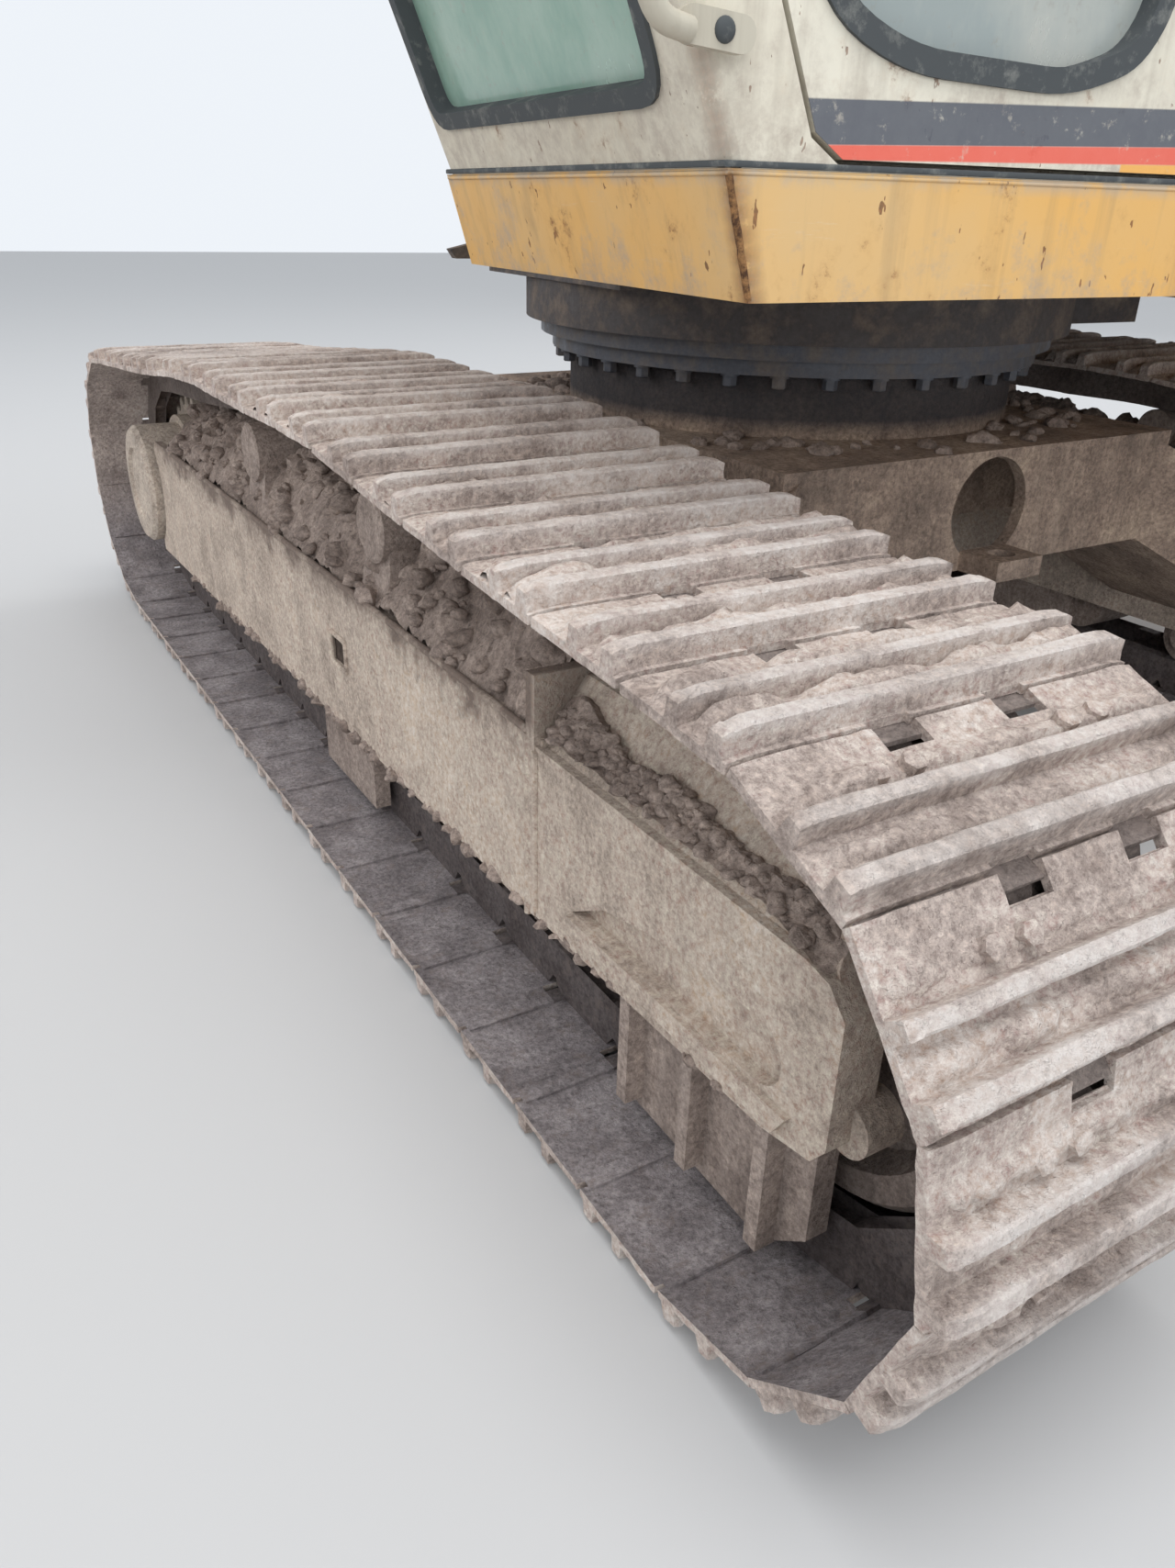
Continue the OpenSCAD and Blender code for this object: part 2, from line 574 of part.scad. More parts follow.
module cab_door() {
    color(cream) place() {
        difference() {
            side(inset(door_line, 6), door_y);
            side(door_window, [door_y[0] - 1, door_y[1] + 1]);
            side(low_pane, [door_y[0] - 1, door_y[1] + 1]);
        }
        for (z = cab_hinges) {
            translate([cab_hinge[0], cab_hinge[1], z]) cylinder(r = 14, h = 90);
            box([cab_hinge[0], cab_hinge[0] + 70], [left_side - 5, cab_hinge[1]], [z, z + 90]);
        }
    }
}
module cab_door_glass() {
    color(glass) place() for (pane = [door_window, low_pane])
        side(inset(pane, seat), [left_side - 30, left_side - 24]);
}

chair_x = cab_back + 330;
chair_y = (cab_in + left_side) / 2;
module operator_seat() {
    color(dark) place() {
        box([chair_x + 60, chair_x + 420], [chair_y - 180, chair_y + 180],
            [deck_top + 60 + seat, deck_top + 330]);
        box([chair_x + 20, chair_x + 520], [chair_y - 250, chair_y + 250],
            [deck_top + 330, deck_top + 450]);
        side([[chair_x, deck_top + 450], [chair_x + 120, deck_top + 450], [chair_x + 30, deck_top + 1020],
            [chair_x - 70, deck_top + 1020]], [chair_y - 240, chair_y + 240]);
        side([[chair_x - 58, deck_top + 1018], [chair_x + 20, deck_top + 1018],
            [chair_x - 10, deck_top + 1230],
            [chair_x - 80, deck_top + 1230]], [chair_y - 150, chair_y + 150]);
    }
}
module cab_consoles() {
    color(dark) place() {
        for (s = [-1, 1]) translate([0, chair_y, 0]) scale([1, s, 1]) {
            box([chair_x + 60, chair_x + 560], [262, 365], [deck_top + 60 + seat, deck_top + 520]);
            translate([chair_x + 500, 310, deck_top + 520]) cylinder(r = 16, h = 190);
        }
        for (s = [-1, 1]) translate([cab_front - 330, chair_y + s * 90, 0]) {
            box([0, 140], [-60, 60], [deck_top + 60 + seat, deck_top + 100]);
            translate([60, 0, deck_top + 100]) cylinder(r = 12, h = 420);
        }
    }
}

// Rear of the machine: a thick arc, flat inside
weight_front = 750 - tail_radius;
bay_y = min(left_side, right_side) - 35;
weight_low = floor_z - 100;
weight_height = 950;
weight_top = weight_low + weight_height;
lift_eye_r = 18;
module counterweight() {
    color(yellow) place() difference() {
        intersection() {
            rotate_extrude($fn = 90) polygon([[0, weight_low], [tail_radius - 190, weight_low],
                [tail_radius - 60, weight_low + 70], [tail_radius, weight_low + 190],
                [tail_radius, weight_top - 230],
                [tail_radius - 50, weight_top - 60], [tail_radius - 160, weight_top], [0, weight_top]]);
            box([-tail_radius - 10, weight_front], [-bay_y - 25, bay_y + 25], [weight_low, weight_top]);
        }
        box([weight_front - 80 - seat, weight_front + 1], [-rail_out - 4, rail_out + 4],
            [weight_low - 1, engine_floor + seat]);
        for (y = [-700, 700]) translate([weight_front - 420, y, weight_top - 80])
            cylinder(r = lift_eye_r, h = 90);
    }
}

bay_x = [weight_front + seat, cab_back - 46];
bay_top = deck_top + 890;
cowl = 170;
hood_pin = [bay_x[0] + 2, bay_top + seat];
hood_hinges = [-950, -50, 850];
function hood_line(high, low) =
    [[3 - bay_y, bay_top - low], [bay_y - 3, bay_top - low], [bay_y - 3, bay_top + high - 50],
    [bay_y - 53, bay_top + high], [53 - bay_y, bay_top + high], [3 - bay_y, bay_top + high - 50]];
// Posts, cross walls and fixed top edge around the engine
hinge_x = bay_x[0] + 40;
hinge_y = bay_y + 47;
door_hinges = [deck_top + 100, deck_top + 600];
engine_ends = [250, 200];
engine_sides = [615, 515];
engine_head = 240;
module engine_bay_frame() {
    color(yellow) place() {
        both() for (z = door_hinges) {
            translate([hinge_x, hinge_y, z + 80 + seat]) cylinder(r = 12, h = 60);
            box([hinge_x - 12, hinge_x + 4], [bay_y - 5, hinge_y], [z + 80 + seat, z + 140]);
        }
        for (x = [bay_x[0], bay_x[1] - 40]) difference() {
            box([x, x + 40], [-bay_y, bay_y], [deck_low + 40 + seat, bay_top]);
            for (y = hood_hinges) box([bay_x[0] - 1, bay_x[0] + 16], [y - 5, y + 60],
                [bay_top - 15, bay_top + 1]);
            box([x - 1, x + 41], [-rail_out - 10, rail_out + 10], [deck_low, deck_top + 150]);
        }
        both() box([bay_x[0] + 39, bay_x[1] - 39], [bay_y - 40, bay_y], [bay_top - 120, bay_top]);
        front(hood_line(110, 10), [bay_x[1] - cowl, bay_x[1]]);
        for (y = hood_hinges) across(hood_pin, 9, [y + 60 + seat, y + 110]);
    }
}
module engine_block() {
    color(dark) place() box([bay_x[0] + engine_ends[0], bay_x[1] - engine_ends[1]],
        [engine_sides[0] - bay_y, bay_y - engine_sides[1]], [engine_floor + seat, bay_top - engine_head]);
}
module engine_hood() {
    color(yellow) place() difference() {
        union() {
            front(hood_line(120, -seat), [bay_x[0] + 2, bay_x[1] - cowl - 8]);
            for (y = hood_hinges) across(hood_pin, 9, [y, y + 60]);
        }
        box([bay_x[0] + 22, bay_x[1] - cowl - 28], [63 - bay_y, bay_y - 63], [bay_top, bay_top + 100]);
        for (y = hood_hinges) box([bay_x[0] + 1, bay_x[0] + 18], [y + 60, y + 115],
            [bay_top, bay_top + 16]);
    }
}
// A side door with a grille of louvres
module bay_door() {
    x = [bay_x[0] + 46, bay_x[1] - 46];
    for (z = door_hinges) {
        translate([hinge_x, hinge_y, z]) cylinder(r = 12, h = 80);
        box([hinge_x, x[0] + 30], [hinge_y - 14, hinge_y - 2], [z, z + 80]);
    }
    difference() {
        box(x, [bay_y + 10, bay_y + 35], [deck_low + 46, bay_top - 10]);
        for (i = [0 : 7]) box([x[0] + 150, x[1] - 150], [bay_y + 5, bay_y + 40],
            [deck_top + 150 + i * 70, deck_top + 185 + i * 70]);
    }
}
module left_side_door() {
    color(yellow) place() bay_door();
}
module right_side_door() {
    color(yellow) place() mirror([0, 1, 0]) bay_door();
}

// On the right deck: two tanks, then a low box with steps
tank_x = cab_back + 390;
box_back = tank_x + 480;
step_z = [deck_top + 270, deck_top + 480];
tank_tops = [deck_top + 850, deck_top + 750];
module rounded_box(x, y, z, r) {
    translate([(x[0] + x[1]) / 2, (y[0] + y[1]) / 2, z[0]]) linear_extrude(z[1] - z[0])
        offset(r = r) square([x[1] - x[0] - 2 * r, y[1] - y[0] - 2 * r], center = true);
}
module hydraulic_tank() {
    color(yellow) place() {
        rounded_box([cab_back, tank_x - 10], [-right_side + 20, -rail_out - 60],
            [deck_top + seat, tank_tops[0]], 60);
        translate([cab_back + 200, -right_side + 400, tank_tops[0]]) cylinder(r = 80, h = 50);
    }
}
module fuel_tank() {
    color(yellow) place() {
        rounded_box([tank_x, box_back - 10], [-right_side + 20, -rail_out - 60],
            [deck_top + seat, tank_tops[1]], 60);
        translate([tank_x + 220, -right_side + 300, tank_tops[1]]) cylinder(r = 60, h = 60);
    }
}
module tool_box() {
    color(yellow) place() side([[box_back, deck_top + seat], [right_front - 20, deck_top + seat],
        [right_front - 20, step_z[0]], [box_back + 180, step_z[0]], [box_back + 180, step_z[1]],
        [box_back, step_z[1]]],
        [-right_side + 20, -rail_out - 60]);
}
module exhaust_stack() {
    color(dark) place() translate([bay_x[1] - cowl / 2, -700, bay_top + 110 + seat]) {
        difference() {
            cylinder(r = 55, h = 420);
            translate([0, 0, 120]) cylinder(r = 50, h = 310);
        }
    }
}

rail_top = deck_top + 1260;
rail_y = -right_side + 60;
module handrails() {
    color(yellow) place() {
        for (p = [[box_back + 60, step_z[1] + seat], [right_front - 60, step_z[0] + seat]])
            translate([p[0], rail_y, p[1]]) cylinder(r = 15, h = rail_top + 5 - p[1]);
        rod_along([box_back + 60, rail_y, rail_top], [right_front - 60, rail_y, rail_top], 17);
        for (x = [tank_x + 80, box_back - 90])
            translate([x, rail_y, tank_tops[1] + seat]) cylinder(r = 15, h = 327);
        rod_along([tank_x + 80, rail_y, tank_tops[1] + 322], [box_back - 90, rail_y, tank_tops[1] + 322],
            17);
    }
}
module mirrors() {
    color(dark) place() {
        translate([right_front - 100, rail_y, rail_top + 17 + seat]) cylinder(r = 14, h = 110);
        box([right_front - 110, right_front - 50], [rail_y - 120, rail_y + 60],
            [rail_top + 120, rail_top + 380]);
    }
}
module work_lamps() {
    color(steel) place() {
        for (y = [cab_in + 150, left_side - 150])
            translate([cab_front - 420, y, cab_roof + seat]) {
                cylinder(r = 12, h = 30);
                translate([0, 0, 90]) rotate([0, 90, 0]) cylinder(r = 62, h = 70);
            }
        translate([right_front - 60, -right_side + 260, step_z[0] + seat]) cylinder(r = 12, h = 60);
        translate([right_front - 90, -right_side + 260, step_z[0] + 112]) rotate([0, 90, 0])
            cylinder(r = 62, h = 70);
    }
}

// A welded box: two webs set in a little from the edges of the plates that close it all round
flange_t = 14;
flange_lip = 12;
module welded_box(points, half) {
    translate([0, half, 0]) rotate([90, 0, 0]) linear_extrude(2 * half) difference() {
        polygon(points);
        offset(delta = -flange_t) polygon(points);
    }
    side(points, [flange_lip - half, half - flange_lip]);
}

// Boom: a bent box, its profile in the frame of its two end pins
boom_half = boom_width / 2;
nose_x = boom_length - 430;
fork_in = stick_width / 2 + 7;
boom_profile = [[-140, -40], [0, -150], [260, -60], [900, 170], [1500, 400], [2250, 600], [2900, 640],
    [3600, 480], [nose_x, -20], [nose_x, 240], [3000, 1230], [2550, 1270], [2050, 1140],
    [1200, 700], [300, 220], [0, 150]];
module boom() {
    color(yellow) place() at_pin(boom_foot, boom_turn) {
        difference() {
            union() {
                welded_box(boom_profile, boom_half);
                across([0, 0], 140, [-rail_in + 5, rail_in - 5]);
                across(boom_eye, 120, [-boom_half - 32, boom_half + 32]);
                both() side([[stick_cyl_foot[0] - 120, 1180], [stick_cyl_foot[0] + 130, 1130],
                    stick_cyl_foot + [75, 50],
                    stick_cyl_foot + [30, 90], stick_cyl_foot + [-30, 90], stick_cyl_foot + [-75, 50]],
                    [60, 95]);
                both() side([[nose_x - 120, 60], [nose_x, -19], [boom_length - 100, -130],
                    [boom_length, -150],
                    [boom_length + 110, -100], [boom_length + 150, 0], [boom_length + 110, 100],
                    [boom_length, 150], [nose_x, 239], [nose_x - 120, 250]], [fork_in, fork_in + 40]);
            }
            across([0, 0], 45 + fit, [-400, 400]);
        }
        across([boom_length, 0], 45, [-fork_in - 40, fork_in + 40]);
        across(stick_cyl_foot, 38, [-95, 95]);
    }
}

stick_profile = [[-830, 200], [-860, 300], [-800, 400], [-640, 400], [-200, 330], [180, 380], [600, 330],
    [stick_length - 300, 160], [stick_length - 60, 120], [stick_length + 90, 60],
    [stick_length + 90, -60],
    [stick_length - 60, -120], [stick_length - 500, -170], [340, -195], [0, -150], [-140, -60],
    [-400, 60]];
module stick() {
    color(yellow) place() at_pin(stick_pin, stick_heading) {
        difference() {
            union() {
                welded_box(stick_profile, stick_width / 2);
                both() side([[170, 350], [430, 320], [365, 620], [320, 650], [280, 650], [235, 620]],
                    [60, 95]);
                across(rocker_pin, 80, [-216, 216]);
                across([stick_length, 0], 100, [-stick_width / 2 - 15, stick_width / 2 + 15]);
            }
            side([[-900, -200], [-380, -200], [-380, 500], [-900, 500]], [-56, 56]);
            across([0, 0], 45 + fit, [-400, 400]);
            across([stick_length, 0], 40 + fit, [-400, 400]);
        }
        across(bucket_cyl_foot, 35, [-95, 95]);
        both() across(rocker_pin, 40, [210, 256]);
        both() across(stick_eye, 60, [stick_width / 2 - flange_lip - 1, stick_width / 2 + 15]);
    }
}

// Bucket: floor and back follow a circle, both sides are flat plates
heel = [640, 420];
heel_r = 420;
tip_run = [bucket_reach, 0] - heel;
tip_dist = norm(tip_run);
floor_turn = heading(tip_run) + acos(heel_r / tip_dist);
bucket_arc = [for (i = [0 : 10]) let (a = floor_turn + (180 - floor_turn) * i / 10) [cos(a), sin(a)]];
function shell(t) = concat([for (a = bucket_arc) heel + a * (heel_r - t)], [[220 + t, 60]]);
bucket_half = bucket_width / 2;
lip_end = heel + [cos(floor_turn), sin(floor_turn)] * heel_r + 690 * [sin(floor_turn), -cos(floor_turn)];
lip_in = lip_end - 40 * [cos(floor_turn), sin(floor_turn)];
module bucket() {
    color(steel) place() at_pin(bucket_pin, bucket_turn) {
        side(concat([lip_in, lip_end], shell(0), [for (i = [10 : -1 : 0]) shell(22)[i]]),
            [-bucket_half + 20, bucket_half - 20]);
        both() side(concat([lip_end, lip_end - [40, 60]], [[700, 20], [220, 20]],
            [for (i = [10 : -1 : 0]) shell(0)[i]]),
            [bucket_half - 20, bucket_half]);
        both() side([[230, -20], [230, 640], [140, 600], [-60, 500], [-90, 400], [-70, 330], [-110, 60],
            [-100, -60], [0, -110], [120, -90]], [168, 208]);
        across([0, 0], 40, [-208, 208]);
        both() across(ear_pin, 60, [208, 216]);
    }
}
module bucket_teeth() {
    color(steel) place() at_pin(bucket_pin, bucket_turn) {
        a = heading(lip_end - heel);
        for (i = [0 : 4]) {
            y = -bucket_half + 60 + (bucket_width - 120) * i / 4;
            translate([lip_end[0], y, lip_end[1]]) rotate([0, 90 - floor_turn, 0])
                side([[seat, -38], [120, -32], [250, -14], [250, -4], [120, 2], [seat, 4]], [-38, 38]);
        }
    }
}

// Cylinders: each lies along the line from its foot pin to its eye at rest
boom_bore = 62;
stick_bore = 78;
bucket_bore = 66;
rod_ratio = 0.62;
piston_at = [940, 1400, 900];
module barrel(foot, eye, y, r, eye_r, eye_half, len) {
    translate([foot[0], y, foot[1]]) rotate([0, -heading(eye - foot), 0]) difference() {
        union() {
            rotate([90, 0, 0]) cylinder(r = eye_r, h = 2 * eye_half, center = true);
            rotate([0, 90, 0]) cylinder(r = eye_half - 5, h = 160);
            translate([150, 0, 0]) rotate([0, 90, 0]) cylinder(r = r, h = len - 150);
        }
        children();
        translate([200, 0, 0]) rotate([0, 90, 0]) cylinder(r = r - 14, h = len - 230);
        translate([len - 40, 0, 0]) rotate([0, 90, 0]) cylinder(r = r * rod_ratio + fit, h = 60);
    }
}
module cross_bore(r) {
    rotate([90, 0, 0]) cylinder(r = r + fit, h = 400, center = true);
}
module rod(foot, eye, y, r, piston_r, eye_r, eye_half, start) {
    d = norm(eye - foot);
    translate([foot[0], y, foot[1]]) rotate([0, -heading(eye - foot), 0]) {
        translate([start, 0, 0]) rotate([0, 90, 0]) cylinder(r = piston_r, h = 60);
        translate([start + 60, 0, 0]) rotate([0, 90, 0])
            cylinder(r = r, h = d - start - 60 - eye_r * 0.6);
        translate([d, 0, 0]) rotate([90, 0, 0]) cylinder(r = eye_r, h = 2 * eye_half, center = true);
    }
}
cyl_y = 274;
boom_cyl_len = 1590;
stick_cyl_len = 2060;
bucket_cyl_len = 1580;
module boom_cylinder_barrels() {
    color(yellow) place() for (y = [-cyl_y, cyl_y])
        barrel(boom_cyl_foot, boom_eye_now, y, boom_bore, 75, 40, boom_cyl_len) cross_bore(40);
}
module boom_cylinder_rods() {
    color(steel) place() for (y = [-cyl_y, cyl_y])
        rod(boom_cyl_foot, boom_eye_now, y, boom_bore * rod_ratio, boom_bore - 14.1, 85, 40,
            piston_at[0]);
}
module stick_cylinder_barrel() {
    color(yellow) place() barrel(stick_foot_now, stick_eye_now, 0, stick_bore, 80, 52, stick_cyl_len)
        cross_bore(38);
}
module stick_cylinder_rod() {
    color(steel) place() rod(stick_foot_now, stick_eye_now, 0, stick_bore * rod_ratio, stick_bore - 14.1,
        85, 50, piston_at[1]);
}
module bucket_cylinder_barrel() {
    color(yellow) place() barrel(bucket_foot_now, link_pin, 0, bucket_bore, 72, 50, bucket_cyl_len)
        cross_bore(35);
}
module bucket_cylinder_rod() {
    color(steel) place() rod(bucket_foot_now, link_pin, 0, bucket_bore * rod_ratio, bucket_bore - 14.1,
        72, 48, piston_at[2]);
}

module bucket_rocker() {
    color(steel) place() {
        at_pin(rocker_now, rocker_turn) both() difference() {
            side([[-70, -40], [-40, -70], [40, -70], [rocker_len + 30, -55], [rocker_len + 60, -30],
                [rocker_len + 60, 30], [rocker_len + 30, 55], [40, 70], [-40, 70], [-70, 40]],
                [222, 252]);
            across([0, 0], 40 + fit, [200, 260]);
        }
        both() across(link_pin, 35, [58, 222]);
    }
}
module bucket_link() {
    color(steel) place() at_pin(link_pin, heading(ear_now - link_pin)) difference() {
        union() {
            both() side([[-60, -30], [-30, -60], [30, -60], [link_len + 30, -60], [link_len + 60, -30],
                [link_len + 60, 30], [link_len + 30, 60], [-30, 60], [-60, 30]], [62, 112]);
            box([link_len / 2, link_len - 90], [-62, 62], [-30, 30]);
            across([link_len, 0], 40, [-160, 160]);
        }
        across([0, 0], 35 + fit, [50, 120]);
        across([0, 0], 35 + fit, [-120, -50]);
    }
}

carbody();
track_frame_right();
track_frame_left();
track_right();
track_left();
idlers();
final_drives();
track_rollers();
carrier_rollers();
roller_guards();
swing_bearing();
revolving_frame();
deck_plates();
cab_shell();
cab_glass();
operator_seat();
cab_consoles();
counterweight();
engine_bay_frame();
engine_block();
engine_hood();
left_side_door();
right_side_door();
fuel_tank();
hydraulic_tank();
tool_box();
exhaust_stack();
handrails();
mirrors();
work_lamps();
cab_door();
cab_door_glass();
boom();
stick();
bucket();
bucket_teeth();
boom_cylinder_barrels();
boom_cylinder_rods();
stick_cylinder_barrel();
stick_cylinder_rod();
bucket_cylinder_barrel();
bucket_cylinder_rod();
bucket_rocker();
bucket_link();
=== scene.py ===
import math
import random
import bpy
import bmesh
from mathutils import Matrix, Vector, noise


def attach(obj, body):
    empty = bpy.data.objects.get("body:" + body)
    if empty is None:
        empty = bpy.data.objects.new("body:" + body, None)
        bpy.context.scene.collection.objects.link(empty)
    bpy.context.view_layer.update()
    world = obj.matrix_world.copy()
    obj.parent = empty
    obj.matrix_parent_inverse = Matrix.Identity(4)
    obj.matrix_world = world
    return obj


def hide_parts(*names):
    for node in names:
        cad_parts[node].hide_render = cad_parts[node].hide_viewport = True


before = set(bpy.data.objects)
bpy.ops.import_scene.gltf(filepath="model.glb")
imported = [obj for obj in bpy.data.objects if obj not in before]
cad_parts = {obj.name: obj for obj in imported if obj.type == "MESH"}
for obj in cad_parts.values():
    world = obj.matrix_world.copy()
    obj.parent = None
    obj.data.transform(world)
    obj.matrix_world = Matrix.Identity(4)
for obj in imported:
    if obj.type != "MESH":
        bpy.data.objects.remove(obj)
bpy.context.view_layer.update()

# Viewpoint: someone crouching beside the idler end of the right track, looking along the
# track towards the sprocket, with the cab's front left corner overhead.
def move(*offset):
    return Matrix.Translation(offset)

def spin(angle, axis):
    return Matrix.Rotation(angle, 4, axis)

def added(name, data):
    """A new object for the data, in the scene."""
    obj = bpy.data.objects.new(name, data)
    bpy.context.scene.collection.objects.link(obj)
    return obj

middle_x = 1.5507085
on_upper = move(-middle_x, 0, 0)
on_tracks = on_upper @ spin(math.radians(94), "Z")
eye = (2.4662, -2.0786, 1.3096)
heading, tilt, roll = (math.radians(v) for v in (58.684, 63.061, 1.371))
focal_px, photo_height_px = 1245.9, 1708
camera_data = bpy.data.cameras.new("photo_camera")
camera = added("photo_camera", camera_data)
bpy.context.scene.camera = camera
camera.matrix_world = on_tracks @ move(*eye) @ spin(heading, "Z") @ spin(tilt, "X") @ spin(roll, "Z")
camera_data.sensor_width = 36
camera_data.lens = focal_px / photo_height_px * 36
camera_data.clip_start = 0.05

# Studio: a grey floor, a large soft lamp overhead and three weaker ones around, under a pale sky.
bpy.ops.mesh.primitive_plane_add(size=60)
floor = bpy.context.object
floor.name = "studio_floor"
floor_paint = bpy.data.materials.new("studio_floor")
floor_paint.use_nodes = True
floor_shader = floor_paint.node_tree.nodes["Principled BSDF"]
floor_shader.inputs["Base Color"].default_value = (0.50, 0.50, 0.50, 1)
floor_shader.inputs["Roughness"].default_value = 0.9
floor.data.materials.append(floor_paint)
for name, place, aim, size, power in (
        ("lamp_above", (0.0, 3.5, 11.0), (-0.3, 0.3, 0.8), 8.0, 720),
        ("lamp_left", (3.5, 11.0, 5.5), (-1.0, 0.0, 1.0), 6.0, 330),
        ("lamp_front", (11.0, -3.5, 6.0), (0.0, 0.0, 1.0), 6.0, 330),
        ("lamp_back", (-9.5, -5.5, 7.5), (-1.0, 0.0, 1.2), 6.0, 270)):
    lamp = bpy.data.lights.new(name, "AREA")
    lamp.shape = "DISK"
    lamp.size = size
    lamp.energy = power
    holder = added(name, lamp)
    holder.location = place
    holder.rotation_euler = (Vector(aim) - Vector(place)).to_track_quat("-Z", "Y").to_euler()
world = bpy.data.worlds.new("studio")
bpy.context.scene.world = world
world.use_nodes = True
sky = world.node_tree.nodes["Background"]
sky.inputs["Color"].default_value = (0.86, 0.90, 0.95, 1)
sky.inputs["Strength"].default_value = 1.0
bpy.context.scene.view_settings.view_transform = "Standard"

# Tracks: 45 pressed steel shoes on each, with three lugs and two notches over the links, bolted
# to a chain of forged links. Dry mud fills the pans between the lugs and the crests are worn
# pale. The shoes ride round idler and sprocket, so they stay one loop on the undercarriage.
def linear(tone):
    """The shader's colour for 8-bit red, green and blue."""
    parts = [v / 255 for v in tone]
    return (*(v / 12.92 if v <= 0.04045 else ((v + 0.055) / 1.055) ** 2.4 for v in parts), 1)

class Value:
    """What a node gives, for sums and products with numbers and with each other."""
    def __init__(self, coat, socket):
        self.coat, self.socket = coat, socket

    def __add__(self, other):
        return self.coat.maths("ADD", self, other)

    def __mul__(self, other):
        return self.coat.maths("MULTIPLY", self, other)

    def span(self, low, high, out_low=0.0, out_high=1.0):
        """Stretched from low and high to the two outer numbers, and held between them."""
        return self.coat.node("MapRange", "Result", {"Value": self, "From Min": low, "From Max": high,
            "To Min": out_low, "To Max": out_high})

class Finish:
    """A material with its nodes, on the piece's own coordinates; colours are 8-bit."""
    def __init__(self, name, rough=0.8, metallic=0.0, specular=0.5):
        self.material = bpy.data.materials.new(name)
        self.material.use_nodes = True
        self.nodes = self.material.node_tree.nodes
        self.links = self.material.node_tree.links
        self.shader = self.nodes["Principled BSDF"]
        self.shader.inputs["Roughness"].default_value = rough
        self.shader.inputs["Metallic"].default_value = metallic
        self.shader.inputs["Specular IOR Level"].default_value = specular
        self.place = self.node("TexCoord", "Object", {})

    def put(self, socket, value):
        if isinstance(value, Value):
            self.links.new(value.socket, socket)
        else:
            socket.default_value = linear(value) if isinstance(value, tuple) else value

    def node(self, kind, output, inputs, **settings):
        """One output of a new node; colours are tuples, places are Vectors."""
        made = self.nodes.new("ShaderNode" + kind)
        for key, value in settings.items():
            setattr(made, key, value)
        for key, value in inputs.items():
            self.put(made.inputs[key], value)
        return Value(self, made.outputs[output])

    def noise(self, scale, detail=5.0, rough=0.6, stretch=None, shift=0.0):
        spot = self.place
        if stretch or shift:
            spot = self.node("Mapping", "Vector", {"Scale": Vector(stretch or (1, 1, 1)),
                "Location": Vector((shift, shift, shift)), "Vector": spot})
        return self.node("TexNoise", "Fac", {"Scale": scale, "Detail": detail, "Roughness": rough,
            "Vector": spot})

    def maths(self, kind, a, b):
        return self.node("Math", 0, {0: a, 1: b}, operation=kind)

    def axis(self, which):
        return self.node("SeparateXYZ", which, {0: self.place})

    def near(self, point, radius):
        """One at the point, falling to nothing at the radius."""
        gap = self.node("VectorMath", "Value", {0: self.place, 1: Vector(point)}, operation="DISTANCE")
        return gap.span(radius, 0.0)

    def ramp(self, fac, stops):
        node = self.nodes.new("ShaderNodeValToRGB")
        bar = node.color_ramp
        while len(bar.elements) < len(stops):
            bar.elements.new(0.5)
        for element, (spot, colour) in zip(bar.elements, stops):
            element.position = spot
            element.color = linear(colour)
        self.put(node.inputs["Fac"], fac)
        return Value(self, node.outputs["Color"])

    def mix(self, fac, a, b, blend="MIX"):
        return self.node("Mix", 2, {0: fac, 6: a, 7: b}, data_type="RGBA", blend_type=blend)

    def marked(self, name):
        return self.node("Attribute", "Fac", {}, attribute_name=name)

    def over(self, mask, colour, blend="MIX"):
        """Lays a colour over the tone so far, where the mask says."""
        self.tone = self.mix(mask, self.tone, colour, blend)

    def finish(self, *layers, roughness=None):
        """Puts on the tone, roughness and bumps; each layer is a height, its strength and its depth."""
        self.put(self.shader.inputs["Base Color"], self.tone)
        if roughness:
            self.put(self.shader.inputs["Roughness"], roughness)
        under = {}
        for height, strength, depth in layers:
            normal = self.node("Bump", "Normal", {"Strength": strength, "Distance": depth,
                "Height": height} | under)
            under = {"Normal": normal}
            self.put(self.shader.inputs["Normal"], normal)
        return self.material

